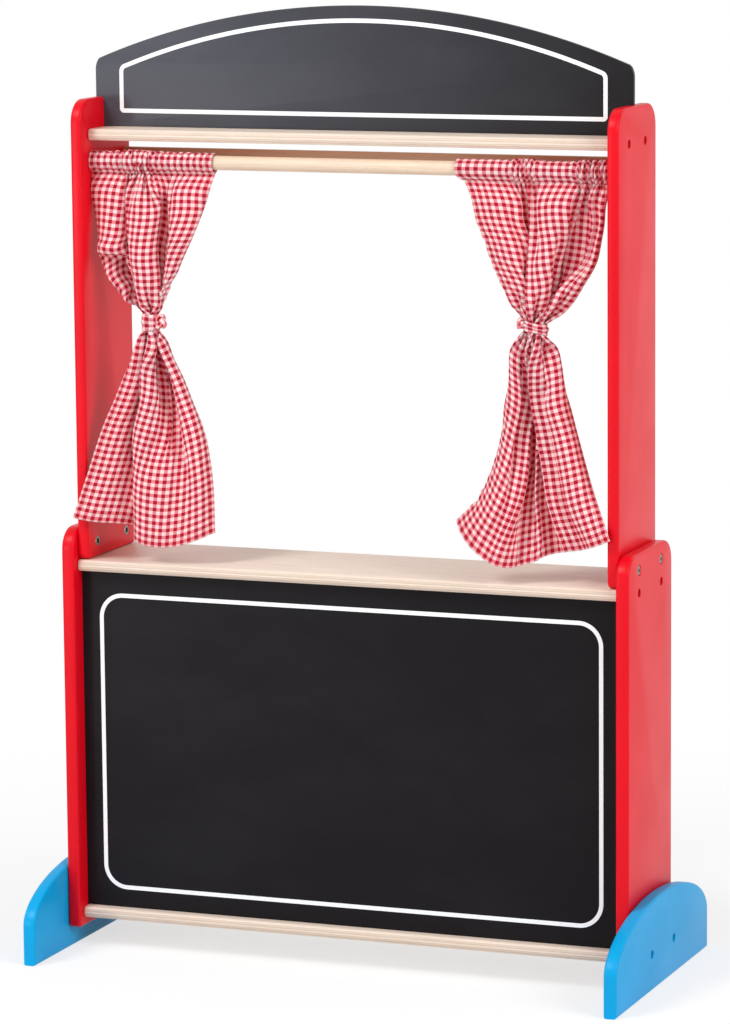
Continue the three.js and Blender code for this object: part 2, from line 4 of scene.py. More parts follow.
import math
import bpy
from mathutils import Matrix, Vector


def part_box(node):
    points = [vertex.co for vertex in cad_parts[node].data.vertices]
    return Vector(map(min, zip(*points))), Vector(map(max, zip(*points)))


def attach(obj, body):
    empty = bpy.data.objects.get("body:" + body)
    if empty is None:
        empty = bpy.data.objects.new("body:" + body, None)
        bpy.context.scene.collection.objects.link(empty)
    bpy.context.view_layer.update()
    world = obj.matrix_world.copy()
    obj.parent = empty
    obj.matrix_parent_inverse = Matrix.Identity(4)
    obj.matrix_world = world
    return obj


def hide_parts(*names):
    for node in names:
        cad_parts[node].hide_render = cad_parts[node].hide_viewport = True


bl_info = {
    "name": "Puppet Theater Stand",
    "version": (1, 0, 0),
    "blender": (4, 5, 0),
    "location": "View3D > Sidebar > Puppet Theater",
    "description": "Paint, plywood, chalkboards and tied curtains for a puppet theater stand, in a studio",
    "category": "Object",
}

import bmesh
import bpy
import numpy as np
from bpy.props import FloatProperty, FloatVectorProperty, PointerProperty
from mathutils import Matrix, Vector

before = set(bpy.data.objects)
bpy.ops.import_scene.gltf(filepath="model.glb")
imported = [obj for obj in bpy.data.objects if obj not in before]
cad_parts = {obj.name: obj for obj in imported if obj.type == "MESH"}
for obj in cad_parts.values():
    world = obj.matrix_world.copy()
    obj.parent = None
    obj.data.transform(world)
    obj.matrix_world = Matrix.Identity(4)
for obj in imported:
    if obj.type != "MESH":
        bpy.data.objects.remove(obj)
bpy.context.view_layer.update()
MM = 0.001
GAP = 0.3 * MM
SIDES = ("left", "right")
STAND = "stand"

# The curtains' cloth: millimetres, and the rows and columns of its threads
CUT_WIDTH = 242.0
SIDE_HEM = 8.0
BOTTOM_HEM = 10.0
COLUMNS = 152
CLOTH_ROWS = 205
POCKET_ROWS = 31
SETTLING_STEPS = 420

# How the cloth settles: its fall at each step in millimetres, the share of its speed that it keeps, the
# radius on which the pocket rests, and its stiffness across and along at each reach, counted in threads
FALL = 0.012
KEPT_SPEED = 0.92
POCKET_RADIUS = 8.6
STIFFNESS = ((2, 0.10, 0.14), (4, 0.03, 0.1), (7, 0.0, 0.07))

# The photograph's view: metres and degrees
CAMERA_PLACE = (1.8504, -4.7496, 1.3156)
CAMERA_YAW = 21.265
CAMERA_PITCH = 8.947
CAMERA_ROLL = -0.509
CAMERA_LENS = 161.31

# Rounding of the boards' corners, at the bottom and at the top, and of the edges that have no setting
SIDE_CORNERS = 6 * MM, 25 * MM
POST_CORNERS = 9 * MM, 26 * MM
PANEL_CORNERS = 1.5 * MM, 1.5 * MM
SIGN_CORNERS = 1 * MM, 11 * MM
BOARD_ARRIS = 1.5 * MM
RAIL_NOSE, RAIL_ARRIS = 1 * MM, 0.5 * MM
ROD_ARRIS = 1 * MM
CHALKBOARD_ARRIS = 0.8 * MM
FOOT_SHOULDER = 45 * MM

# The painted lines: half width, bottom and top, then the radii of their corners and arcs
PANEL_LINE = 302 * MM, 69 * MM, 414.2 * MM
PANEL_LINE_CORNER = 28.5 * MM
SIGN_LINE = 290 * MM, 957 * MM, 1065.8 * MM
SIGN_LINE_CORNERS = 5 * MM, 6 * MM
SIGN_ARC, SIGN_LINE_ARC = 837 * MM, 777 * MM
LINE_SUNK, LINE_THICKNESS = 0.1 * MM, 0.25 * MM

# Radius and lip of each kind of recess, of which a nut's has the lip alone, and a sleeve's bore and depth
BOLT_RECESS = 6.1 * MM, 0.5 * MM
SCREW_RECESS = 4.8 * MM, 0.5 * MM
NUT_RECESS = 6.3 * MM, 0.4 * MM
SLEEVE_BORE = 4.0 * MM, 0, 8 * MM

# The studio: each lamp's place and size in metres and its share of the power, and the world's strength
LAMPS = {
    "key_lamp": ((-1.8, -2.8, 3.8), 1.7, 1.15),
    "fill_lamp": ((3.0, -1.2, 2.2), 2.0, 0.66),
    "side_lamp": ((-2.9, -4.6, 0.75), 0.7, 0.36),
}
LAMPS_AIM = Vector((0, 0, 0.55))
WORLD_STRENGTH = 0.48
FLOOR_RADIUS = 60
FLOOR_DROP = 0.0004
WHITE = (1, 1, 1)


def linear(red, green, blue):
    """A screen colour of 0 to 255 as the shader's linear colour."""
    steps = [value / 255 for value in (red, green, blue)]
    return [step / 12.92 if step <= 0.04045 else ((step + 0.055) / 1.055) ** 2.4 for step in steps]


def colour_property(name, description, screen):
    return FloatVectorProperty(
        name=name, description=description, subtype="COLOR", size=3, min=0, max=1, default=linear(*screen))


def length_property(name, description, millimetres):
    return FloatProperty(
        name=name, description=description, unit="LENGTH", min=0, default=millimetres * MM)


class PaintSettings(bpy.types.PropertyGroup):
    red: colour_property("Red", "Paint of the lower sides and the posts", (229, 8, 30))
    blue: colour_property("Blue", "Paint of the feet", (0, 168, 230))
    arris: length_property("Arris", "Rounding of the painted edges", 3)
    roughness: FloatProperty(
        name="Roughness", description="How matt the paint is", subtype="FACTOR", min=0, max=1, default=0.34)


class WoodSettings(bpy.types.PropertyGroup):
    veneer: colour_property("Veneer", "Faces of the plywood", (242, 223, 206))
    glue: colour_property("Glue line", "Dark lines between the plies", (190, 162, 138))
    rod: colour_property("Rod", "The curtain rod", (236, 211, 186))
    # The rail's colour is a darker, warmer copy of the veneer: painted shade under the top shelf and red
    # bounce light
    rail: colour_property("Rail", "The rail behind the rod", (208, 156, 122))
    nose: length_property("Nose", "Rounding of the counter's and the shelves' long edges", 5)


class ChalkboardSettings(bpy.types.PropertyGroup):
    board: colour_property("Board", "Chalkboard paint", (22, 19, 22))
    line: colour_property("Line", "Painted line near the edges", (250, 252, 255))
    line_width: length_property("Line width", "Width of the painted line", 4.8)


class ClothSettings(bpy.types.PropertyGroup):
    white: colour_property("White", "Where light yarns cross", (255, 222, 219))
    pink: colour_property("Pink", "Where light and dark yarns cross", (243, 130, 143))
    red: colour_property("Red", "Where dark yarns cross", (162, 10, 34))
    check_across: length_property("Check across", "One light and one dark stripe across the cloth", 8.6)
    check_down: length_property("Check down", "One light and one dark stripe down the cloth", 7.75)
    thickness: length_property("Thickness", "Thickness of the cloth", 0.5)


class StageSettings(bpy.types.PropertyGroup):
    floor: colour_property("Floor", "Floor under the stand", (250, 250, 250))
    key: FloatProperty(
        name="Key lamp", description="Power of the large lamp", unit="POWER", min=0, default=86)


class Recipe:
    """A node tree, written from its texture coordinates to its shader."""

    def __init__(self, name, kind="materials"):
        self.owner = getattr(bpy.data, kind).new(name)
        self.owner.use_nodes = True
        self.tree = self.owner.node_tree
        self.tree.nodes.clear()

    def node(self, kind, values=None, **settings):
        made = self.tree.nodes.new("ShaderNode" + kind)
        for key, value in settings.items():
            setattr(made, key, value)
        for key, value in (values or {}).items():
            self.feed(made.inputs[key], value)
        return made

    def feed(self, socket, value):
        if isinstance(value, bpy.types.NodeSocket):
            self.tree.links.new(value, socket)
        elif value is not None:
            socket.default_value = (*value, 1) if socket.type == "RGBA" else value

    def math(self, operation, *values):
        return self.node("Math", dict(enumerate(values)), operation=operation).outputs[0]

    def mix(self, share, first, second):
        made = self.node("Mix", data_type="RGBA")
        for name, value in (("Factor_Float", share), ("A_Color", first), ("B_Color", second)):
            self.feed(next(s for s in made.inputs if s.identifier == name), value)
        return next(s for s in made.outputs if s.identifier == "Result_Color")

    def place(self, **mapping):
        made = self.node("TexCoord").outputs["Object"]
        return self.node("Mapping", {"Vector": made, **mapping}).outputs[0] if mapping else made

    def axes(self, vector):
        return self.node("SeparateXYZ", {"Vector": vector}).outputs[:]

    def noise(self, place, scale, detail=2.0, roughness=0.5):
        values = {"Vector": place, "Scale": scale, "Detail": detail, "Roughness": roughness}
        return self.node("TexNoise", values).outputs["Fac"]

    def spread(self, value, low, high, to_low=0.0, to_high=1.0):
        values = {"Value": value, "From Min": low, "From Max": high, "To Min": to_low, "To Max": to_high}
        return self.node("MapRange", values).outputs[0]

    def bump(self, height, strength, distance, below=None):
        values = {"Height": height, "Strength": strength, "Distance": distance, "Normal": below}
        return self.node("Bump", values).outputs[0]

    def finish(self, values):
        shader = self.node("BsdfPrincipled", values)
        self.node("OutputMaterial", {0: shader.outputs[0]})
        return self.owner

    def finish_backdrop(self, output, lit, bright, share=None):
        """Shows the eye the bright shader, also in a gloss and through glass, and the rest the lit one."""
        rays = self.node("LightPath").outputs
        seen = self.math("MAXIMUM", rays["Is Camera Ray"], rays["Is Glossy Ray"])
        seen = self.math("MAXIMUM", seen, rays["Is Transmission Ray"])
        if share is not None:
            seen = self.math("MULTIPLY", seen, share)
        both = self.node("MixShader", {0: seen, 1: lit.outputs[0], 2: bright.outputs[0]})
        self.node(output, {0: both.outputs[0]})
        return self.owner


def shade(colour, share):
    return [share * part for part in colour]


def paint(name, colour, roughness):
    """Satin paint: a faint orange peel and a little unevenness in its colour and gloss."""
    recipe = Recipe(name)
    clouds = recipe.noise(recipe.place(), 9, 3)
    return recipe.finish({
        "Base Color": recipe.mix(recipe.spread(clouds, 0.35, 0.7), colour, shade(colour, 0.9)),
        "Roughness": recipe.spread(clouds, 0.3, 0.7, roughness - 0.03, roughness + 0.04),
        "Specular IOR Level": 0.16,
        "Normal": recipe.bump(recipe.noise(recipe.place(), 420), 0.12, 0.0003),
    })


def plywood(name, veneer, glue, bottom, thickness):
    """Clear plywood: long pale grain on its faces and thin dark glue lines along its edges."""
    recipe = Recipe(name)
    do = recipe.math
    grain = recipe.noise(recipe.place(Scale=(3, 42, 42)), 6, 6, 0.62)
    pores = recipe.noise(recipe.place(Scale=(8, 160, 160)), 14)
    face = recipe.mix(recipe.spread(grain, 0.35, 0.7), veneer, shade(veneer, 0.88))
    face = recipe.mix(recipe.spread(pores, 0.62, 0.72), face, shade(veneer, 0.72))
    height = recipe.axes(recipe.place())[2]
    ply = do("DIVIDE", do("SUBTRACT", height, bottom), thickness / 5)
    seam = do("ABSOLUTE", do("SUBTRACT", do("FRACT", ply), 0.5))
    inner = do("LESS_THAN", do("ABSOLUTE", do("SUBTRACT", ply, 2.5)), 2.3)
    line = do("MULTIPLY", recipe.spread(seam, 0.39, 0.47), inner)
    odd = do("GREATER_THAN", do("FRACT", do("MULTIPLY", ply, 0.5)), 0.5)
    core = recipe.mix(do("MULTIPLY", do("MULTIPLY", odd, inner), 0.35), face, glue)
    return recipe.finish({
        "Base Color": recipe.mix(do("MULTIPLY", line, 0.95), core, glue),
        "Roughness": recipe.spread(grain, 0.3, 0.7, 0.42, 0.52),
        "Normal": recipe.bump(grain, 0.15, 0.0004),
    })


def rod_wood(name, colour):
    """Sanded beech: fine straight grain with short dark flecks."""
    recipe = Recipe(name)
    grain = recipe.noise(recipe.place(Scale=(2, 60, 60)), 9, 5, 0.6)
    flecks = recipe.noise(recipe.place(Scale=(30, 260, 260)), 5, 1)
    body = recipe.mix(recipe.spread(grain, 0.35, 0.7), colour, shade(colour, 0.82))
    return recipe.finish({
        "Base Color": recipe.mix(recipe.spread(flecks, 0.66, 0.74, 0, 0.5), body, shade(colour, 0.6)),
        "Roughness": recipe.spread(grain, 0.3, 0.7, 0.4, 0.5),
        "Normal": recipe.bump(grain, 0.12, 0.0003),
    })


def chalkboard(name, colour, sheen, roughness, left_sheen_and_dust):
    """Chalkboard paint: finely grained, with a faint haze of wiped chalk and a pale bluish wash towards the
    left end that is painted sheen, mottled like chalk dust.
    """
    recipe = Recipe(name)
    haze = recipe.noise(recipe.place(Scale=(1, 1, 2.2)), 5, 6, 0.62)
    dusty = recipe.mix(recipe.spread(haze, 0.45, 0.8, 0, 0.012), colour, (0.5, 0.5, 0.5))
    # A pale bluish wash grows towards the left end: painted sheen of a lamp at the left, mottled by the haze
    # like chalk dust
    across = recipe.axes(recipe.place())[0]
    sheen_and_dust_share = recipe.spread(haze, 0.2, 0.8, 0.8 * left_sheen_and_dust, 1.2 * left_sheen_and_dust)
    left_sheen_and_dust_wash = recipe.math("MULTIPLY", recipe.spread(across, 0.3, -0.34), sheen_and_dust_share)
    return recipe.finish({
        "Base Color": recipe.mix(left_sheen_and_dust_wash, dusty, (0.6, 0.64, 0.78)),
        "Roughness": recipe.spread(haze, 0.3, 0.7, roughness - 0.03, roughness + 0.04),
        "Specular IOR Level": sheen,
        "Normal": recipe.bump(recipe.noise(recipe.place(), 1600), 0.25, 0.0002),
    })


def line_paint(name, colour):
    recipe = Recipe(name)
    wear = recipe.noise(recipe.place(), 160, 4)
    return recipe.finish({
        "Base Color": recipe.mix(recipe.spread(wear, 0.4, 0.8, 0, 0.25), colour, shade(colour, 0.8)),
        "Roughness": 0.55,
        "Normal": recipe.bump(wear, 0.1, 0.0002),
    })


def zinc(name):
    recipe = Recipe(name)
    turning = recipe.noise(recipe.place(Scale=(40, 400, 400)), 6)
    return recipe.finish({
        # The metal is kept dark: painted shade of the recesses that the fasteners sit in
        "Base Color": recipe.mix(recipe.spread(turning, 0.35, 0.65), (0.2, 0.18, 0.16), (0.3, 0.27, 0.24)),
        "Metallic": 1.0,
        "Roughness": recipe.spread(turning, 0.3, 0.7, 0.22, 0.36),
    })


def gingham(name, settings):
    """Woven check on the cloth's own UV map, in metres: two yarn colours cross in both directions."""
    recipe = Recipe(name)
    do = recipe.math
    cloth = recipe.node("UVMap", uv_map="cloth").outputs[0]
    wander = recipe.node("TexNoise", {"Vector": cloth, "Scale": 900.0, "Detail": 1.0}).outputs["Color"]
    shift = recipe.node("VectorMath", {0: wander, 1: (0.5, 0.5, 0.5)}, operation="SUBTRACT").outputs[0]
    slight = recipe.node("VectorMath", {0: shift, "Scale": 0.0004}, operation="SCALE").outputs[0]
    moved = recipe.node("VectorMath", {0: cloth, 1: slight}, operation="ADD").outputs[0]
    stripes = []
    for along, check in zip(recipe.axes(moved), (settings.check_across, settings.check_down)):
        from_middle = do("ABSOLUTE", do("SUBTRACT", do("FRACT", do("DIVIDE", along, check)), 0.5))
        stripes.append(recipe.spread(from_middle, 0.235, 0.265, 1, 0))
    both = do("ADD", *stripes)
    full = do("MAXIMUM", do("SUBTRACT", both, 1), 0)
    colour = recipe.mix(full, recipe.mix(do("MINIMUM", both, 1), settings.white, settings.pink), settings.red)
    across, down = yarns = recipe.axes(cloth)[:2]
    weave = do("MULTIPLY", *(do("SINE", do("MULTIPLY", along, 2 * math.pi / 0.0007)) for along in yarns))

    # The hems lie double, with a line of stitches along their inner edge
    from_side = do("MINIMUM", across, do("SUBTRACT", CUT_WIDTH * MM, across))
    from_seam = do(
        "MINIMUM", do("SUBTRACT", from_side, SIDE_HEM * MM), do("SUBTRACT", down, BOTTOM_HEM * MM))
    double = do("LESS_THAN", from_seam, 0)
    dash = do("FRACT", do("DIVIDE", do("ADD", across, down), 3 * MM))
    stitch = do(
        "MULTIPLY", recipe.spread(do("ABSOLUTE", from_seam), 0.2 * MM, 0.5 * MM, 1, 0),
        do("LESS_THAN", dash, 0.75))
    colour = recipe.mix(recipe.spread(weave, -1, 1, 0, 0.06), colour, (0, 0, 0))
    # The double hems lean towards the red: painted shade, as less light passes through two layers
    colour = recipe.mix(do("MULTIPLY", double, 0.12), colour, settings.red)
    colour = recipe.mix(do("MULTIPLY", stitch, 0.45), colour, settings.red)
    return recipe.finish({
        "Base Color": colour,
        "Roughness": 0.9,
        "Subsurface Weight": 0.35,
        "Subsurface Radius": (1.0, 0.12, 0.12),
        "Subsurface Scale": 0.004,
        "Sheen Weight": 0.08,
        "Sheen Roughness": 0.5,
        "Specular IOR Level": 0.2,
        "Normal": recipe.bump(do("SUBTRACT", double, stitch), 0.6, 0.0004, recipe.bump(weave, 0.25, 0.0002)),
    })


def activate(piece):
    """Makes a piece the only selected one."""
    if bpy.context.object and bpy.context.object.mode != "OBJECT":
        leave()
    bpy.ops.object.select_all(action="DESELECT")
    if piece:
        bpy.context.view_layer.objects.active = piece
        piece.select_set(True)


def wear_material(piece, material):
    piece.data.materials.clear()
    piece.data.materials.append(material)


def cad_nodes(prefix):
    return [node for name, node in sorted(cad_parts.items()) if name.startswith(prefix)]


def take_all():
    bpy.ops.mesh.select_all(action="SELECT")


def extrude(move):
    bpy.ops.mesh.extrude_region_move(TRANSFORM_OT_translate={"value": move})


def leave():
    """Ends the modelling of a piece."""
    bpy.ops.object.mode_set(mode="OBJECT")


def edit(piece):
    """Opens a piece for modelling, with nothing of it selected."""
    activate(piece)
    bpy.ops.object.mode_set(mode="EDIT")
    bpy.ops.mesh.select_mode(type="VERT")
    bpy.ops.mesh.select_all(action="DESELECT")


def pick(piece, kind, choice):
    """Selects the verts, edges or faces of an open piece whose corners all pass a test of their place."""
    for part in getattr(bmesh.from_edit_mesh(piece.data), kind):
        corners = [part] if isinstance(part, bmesh.types.BMVert) else part.verts
        if all(choice(corner.co) for corner in corners):
            part.select_set(True)
    bmesh.update_edit_mesh(piece.data)


def close_outward():
    """Ends the modelling of a closed piece with all its faces turned outwards."""
    take_all()
    bpy.ops.mesh.normals_make_consistent(inside=False)
    leave()


def near(value, target):
    return abs(value - target) < 1e-5


def added(name, sizes=None):
    """The primitive that was just added, named and sized, with its place in its mesh."""
    piece = bpy.context.object
    piece.name = name
    if sizes:
        bpy.ops.transform.resize(value=sizes)
    bpy.ops.object.transform_apply(location=True, rotation=True, scale=True)
    return piece


def disc(name, corners, radius, centre, turn, sizes=None):
    activate(None)
    bpy.ops.mesh.primitive_circle_add(
        vertices=corners, radius=radius, fill_type="NGON", location=centre, rotation=turn)
    return added(name, sizes)


def cylinder(name, corners, radius, low, high, depth, height):
    """A round bar along X."""
    activate(None)
    bpy.ops.mesh.primitive_cylinder_add(
        vertices=corners, radius=radius, depth=high - low, location=((low + high) / 2, depth, height),
        rotation=(0, math.pi / 2, 0))
    return added(name)


def rounded_corners(piece, radius, choice, segments=12):
    """Rounds the corners of a flat outline that pass a test of their place."""
    if radius:
        edit(piece)
        pick(piece, "verts", choice)
        bpy.ops.mesh.bevel(affect="VERTICES", offset=radius, segments=segments)
        leave()


def thicken(piece, axis, low, high, arris):
    """Thickens a flat outline between two planes and rounds the edges of both faces."""
    edit(piece)
    take_all()
    move = [0, 0, 0]
    move[axis] = high - low
    extrude(move)
    close_outward()
    if arris:
        edit(piece)
        for face in (low, high):
            pick(piece, "edges", lambda place, face=face: near(place[axis], face))
        bpy.ops.mesh.bevel(affect="EDGES", offset=arris, segments=4, clamp_overlap=True)
        leave()


def outline(name, axis, low, high):
    """A flat rectangle on the low side of a box, across the axis that it will be thickened along."""
    activate(None)
    middle = [(a + b) / 2 for a, b in zip(low, high)]
    middle[axis] = low[axis]
    turn = (0, math.pi / 2, 0) if axis == 0 else (math.pi / 2, 0, 0)
    bpy.ops.mesh.primitive_plane_add(size=1, location=middle, rotation=turn)
    sizes = [b - a for a, b in zip(low, high)]
    sizes[axis] = 1
    return added(name, sizes)


def rounded_board(name, axis, low, high, corners, arris):
    """A board with one radius at its lower corners, one at its upper corners and rounded edges."""
    piece = outline(name, axis, low, high)
    for radius, height in zip(corners, (low.z, high.z)):
        rounded_corners(piece, radius, lambda place, height=height: near(place.z, height))
    thicken(piece, axis, low[axis], high[axis], arris)
    return piece


def finish_piece(piece, material, node=None):
    """Smooths a piece of the stand, gives it its material and hides the part that it stands in for."""
    activate(piece)
    bpy.ops.object.shade_smooth_by_angle(angle=math.radians(35))
    wear_material(piece, material)
    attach(piece, STAND)
    if node:
        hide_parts(node)


def cut_out(piece, cutters):
    """Cuts the cutters out of a piece and removes them."""
    for cutter in cutters:
        apply_modifier(piece, "BOOLEAN", object=cutter, operation="DIFFERENCE", solver="EXACT")
        bpy.data.objects.remove(cutter)
    return piece


def bore(start, end, radius, depth, height, lip=0.0):
    """A cutter for a round hole along X that opens at its end, where a lip widens it."""
    cutter = cylinder("bore", 40, radius, min(start, end), max(start, end), depth, height)
    if lip:
        edit(cutter)
        pick(cutter, "faces", lambda place: near(place.x, end))
        outward = math.copysign(lip, end - start)
        bpy.ops.transform.translate(value=(-outward, 0, 0))
        extrude((outward, 0, 0))
        wide = 1 + lip / radius
        bpy.ops.transform.resize(value=(1, wide, wide), center_override=(end, depth, height))
        extrude((outward, 0, 0))
        leave()
    return cutter


def block(low, high):
    """A cutter for a groove or mortice."""
    activate(None)
    bpy.ops.mesh.primitive_cube_add(size=1, location=(low + high) / 2)
    return added("block", list(high - low))


def mirror_copy(piece, name):
    """The same piece for the left side of the stand, with a mesh of its own."""
    activate(piece)
    bpy.ops.object.duplicate()
    copy = bpy.context.object
    copy.name = name
    bpy.ops.transform.resize(value=(-1, 1, 1), center_override=(0, 0, 0))
    bpy.ops.object.transform_apply(location=True, rotation=True, scale=True)
    edit(copy)
    close_outward()
    return copy


def grown(node):
    """A node's box with a gap all round, for what it sits in."""
    low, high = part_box(node)
    return low - Vector((GAP,) * 3), high + Vector((GAP,) * 3)


def fastener_holes(prefix, mouth, radius, lip, sink=-3 * MM):
    """Cutters for the recesses of the right-hand fasteners of one kind, open at the mouth's plane."""
    cutters = []
    for node in cad_nodes(prefix):
        if node.name.endswith("_right"):
            low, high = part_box(node.name)
            start = (high.x if mouth > high.x else low.x) + sink
            cutters.append(bore(start, mouth, radius, (low.y + high.y) / 2, (low.z + high.z) / 2, lip))
    return cutters


class THEATER_OT_uprights(bpy.types.Operator):
    """Shapes, bores and paints the feet, the lower sides and the upper posts"""
    bl_idname = "theater.uprights"
    bl_label = "Feet, Sides and Posts"

    def execute(self, context):
        settings = context.scene.theater_paint
        red = paint("red_paint", settings.red, settings.roughness)
        blue = paint("blue_paint", settings.blue, settings.roughness)
        for node, shape, material, slot in (
            ("lower_side", self.lower_side, red, "red_paint"),
            ("upper_post", self.upper_post, red, "red_paint"),
            ("foot", self.foot, blue, "blue_paint"),
        ):
            low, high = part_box(node + "_right")
            right = shape("painted_" + node + "_right", low, high, settings.arris)
            left = mirror_copy(right, "painted_" + node + "_left")
            finish_piece(right, material, node + "_right")
            finish_piece(left, material, node + "_left")
        return {"FINISHED"}

    def lower_side(self, name, low, high, arris):
        panel_low, panel_high = grown("front_panel")
        panel_low.x = low.x - 5 * MM
        return cut_out(rounded_board(name, 0, low, high, SIDE_CORNERS, arris), [
            block(panel_low, panel_high),
            *fastener_holes("post_bolt", high.x, *BOLT_RECESS),
            *fastener_holes("counter_screw", high.x, *SCREW_RECESS),
        ])

    def upper_post(self, name, low, high, arris):
        sign_low, sign_high = grown("sign_board")
        sign_high.z = high.z + 5 * MM
        rail_low, rail_high = grown("rear_rail")
        rod_low, rod_high = grown("curtain_rod")
        sign_low.x = rail_low.x = low.x - 5 * MM
        return cut_out(rounded_board(name, 0, low, high, POST_CORNERS, arris), [
            block(sign_low, sign_high),
            block(rail_low, rail_high),
            bore(rod_high.x, low.x - 2 * MM, (rod_high.z - rod_low.z) / 2,
                 (rod_low.y + rod_high.y) / 2, (rod_low.z + rod_high.z) / 2),
            *fastener_holes("shelf_screw", high.x, *SCREW_RECESS),
            *fastener_holes("post_nut", low.x, *NUT_RECESS),
            *fastener_holes("post_nut", low.x - 1 * MM, *SLEEVE_BORE),
        ])

    def foot(self, name, low, high, arris):
        """Half an ellipse over straight ends"""
        shoulder = low.z + FOOT_SHOULDER
        half = (high.y - low.y) / 2
        piece = disc(name, 160, half, (low.x, 0, shoulder), (math.pi / 2, 0, math.pi / 2),
                     (1, 1, (high.z - shoulder) / half))
        edit(piece)
        take_all()
        bpy.ops.mesh.bisect(
            plane_co=(low.x, 0, shoulder), plane_no=(0, 0, 1), clear_inner=True, use_fill=False)
        bpy.ops.mesh.select_all(action="DESELECT")
        pick(piece, "edges", lambda place: near(place.z, shoulder))
        extrude((0, 0, low.z - shoulder))
        take_all()
        bpy.ops.mesh.dissolve_limited(angle_limit=math.radians(0.2))
        leave()
        thicken(piece, 0, low.x, high.x, arris)
        return cut_out(piece, fastener_holes("foot_screw", high.x, *SCREW_RECESS))


class THEATER_OT_wood(bpy.types.Operator):
    """Shapes the counter and the shelves, and finishes the rear rail and the curtain rod"""
    bl_idname = "theater.wood"
    bl_label = "Plywood and Rod"

    def execute(self, context):
        settings = context.scene.theater_wood
        board = settings.veneer, settings.nose, BOARD_ARRIS
        # The rail wears the plywood in its darker colour, which paints in the shade under the top shelf
        rail = settings.rail, RAIL_NOSE, RAIL_ARRIS
        for node, (face, nose, arris) in (
                ("counter", board), ("bottom_shelf", board), ("top_shelf", board), ("rear_rail", rail)):
            low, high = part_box(node)
            material = plywood(node + "_plywood", face, settings.glue, low.z, high.z - low.z)
            piece = rounded_board("plywood_" + node, 0, low, high, (nose, nose), arris)
            finish_piece(piece, material, node)
        low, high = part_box("curtain_rod")
        middle = (low + high) / 2
        rod = cylinder("turned_curtain_rod", 64, (high.z - low.z) / 2, low.x, high.x, middle.y, middle.z)
        edit(rod)
        for end in (low.x, high.x):
            pick(rod, "edges", lambda place, end=end: near(place.x, end))
        bpy.ops.mesh.bevel(affect="EDGES", offset=ROD_ARRIS, segments=2)
        leave()
        finish_piece(rod, rod_wood("rod_beech", settings.rod), "curtain_rod")
        return {"FINISHED"}


class THEATER_OT_chalkboards(bpy.types.Operator):
    """Shapes the chalk panel and the sign board and paints their lines"""
    bl_idname = "theater.chalkboards"
    bl_label = "Chalkboards"

    def execute(self, context):
        settings = context.scene.theater_chalkboard
        # The sign board gets a strong painted sheen towards its left end, and the panel only a trace of it
        black = chalkboard("chalkboard_paint", settings.board, sheen=0.1, roughness=0.45, left_sheen_and_dust=0.004)
        satin = chalkboard("sign_board_paint", settings.board, sheen=0.2, roughness=0.34, left_sheen_and_dust=0.12)
        white = line_paint("white_line", settings.line)
        low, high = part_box("front_panel")
        panel = rounded_board("chalk_front_panel", 1, low, high, PANEL_CORNERS, CHALKBOARD_ARRIS)
        finish_piece(panel, black, "front_panel")
        line = outline("painted_panel_line", 1, *self.box(*PANEL_LINE, low.y))
        rounded_corners(line, PANEL_LINE_CORNER, lambda place: True, 16)
        self.line(line, settings.line_width, white)

        low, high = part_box("sign_board")
        sign = self.arch("chalk_sign_board", low, high, SIGN_ARC, SIGN_CORNERS, (12, 10))
        thicken(sign, 1, low.y, high.y, CHALKBOARD_ARRIS)
        finish_piece(sign, satin, "sign_board")
        inner, outer = self.box(*SIGN_LINE, low.y)
        line = self.arch("painted_sign_line", inner, outer, SIGN_LINE_ARC, SIGN_LINE_CORNERS, (8, 8))
        self.line(line, settings.line_width, white)
        return {"FINISHED"}

    def box(self, half, bottom, top, face):
        return Vector((-half, face, bottom)), Vector((half, face, top))

    def arch(self, name, low, high, radius, corners, segments):
        """A flat outline with straight ends and base under an arc, cut from a disc"""
        piece = disc(name, 720, radius, (0, low.y, high.z - radius), (math.pi / 2, 0, 0))
        edit(piece)
        for place, away in (
                ((low.x, 0, 0), (-1, 0, 0)), ((high.x, 0, 0), (1, 0, 0)), ((0, 0, low.z), (0, 0, -1))):
            take_all()
            bpy.ops.mesh.bisect(plane_co=place, plane_no=away, clear_outer=True, use_fill=False)
        leave()
        tests = (
            lambda place: near(place.z, low.z),
            lambda place: (near(place.x, low.x) or near(place.x, high.x)) and place.z > low.z + 10 * MM)
        for corner, test, steps in zip(corners, tests, segments):
            rounded_corners(piece, corner, test, steps)
        return piece

    def line(self, piece, width, material):
        """Turns a flat outline into a thin painted line on the board's face"""
        edit(piece)
        take_all()
        bpy.ops.mesh.inset(thickness=width, depth=0)
        bpy.ops.mesh.delete(type="FACE")
        take_all()
        bpy.ops.transform.translate(value=(0, LINE_SUNK, 0))
        extrude((0, -LINE_THICKNESS, 0))
        close_outward()
        finish_piece(piece, material)


class THEATER_OT_fasteners(bpy.types.Operator):
    """Finishes the bolts, nuts and screws"""
    bl_idname = "theater.fasteners"
    bl_label = "Fasteners"

    def execute(self, context):
        material = zinc("zinc_plate")
        for prefix in ("post_bolt", "post_nut", "counter_screw", "foot_screw", "shelf_screw"):
            for node in cad_nodes(prefix):
                wear_material(node, material)
        return {"FINISHED"}


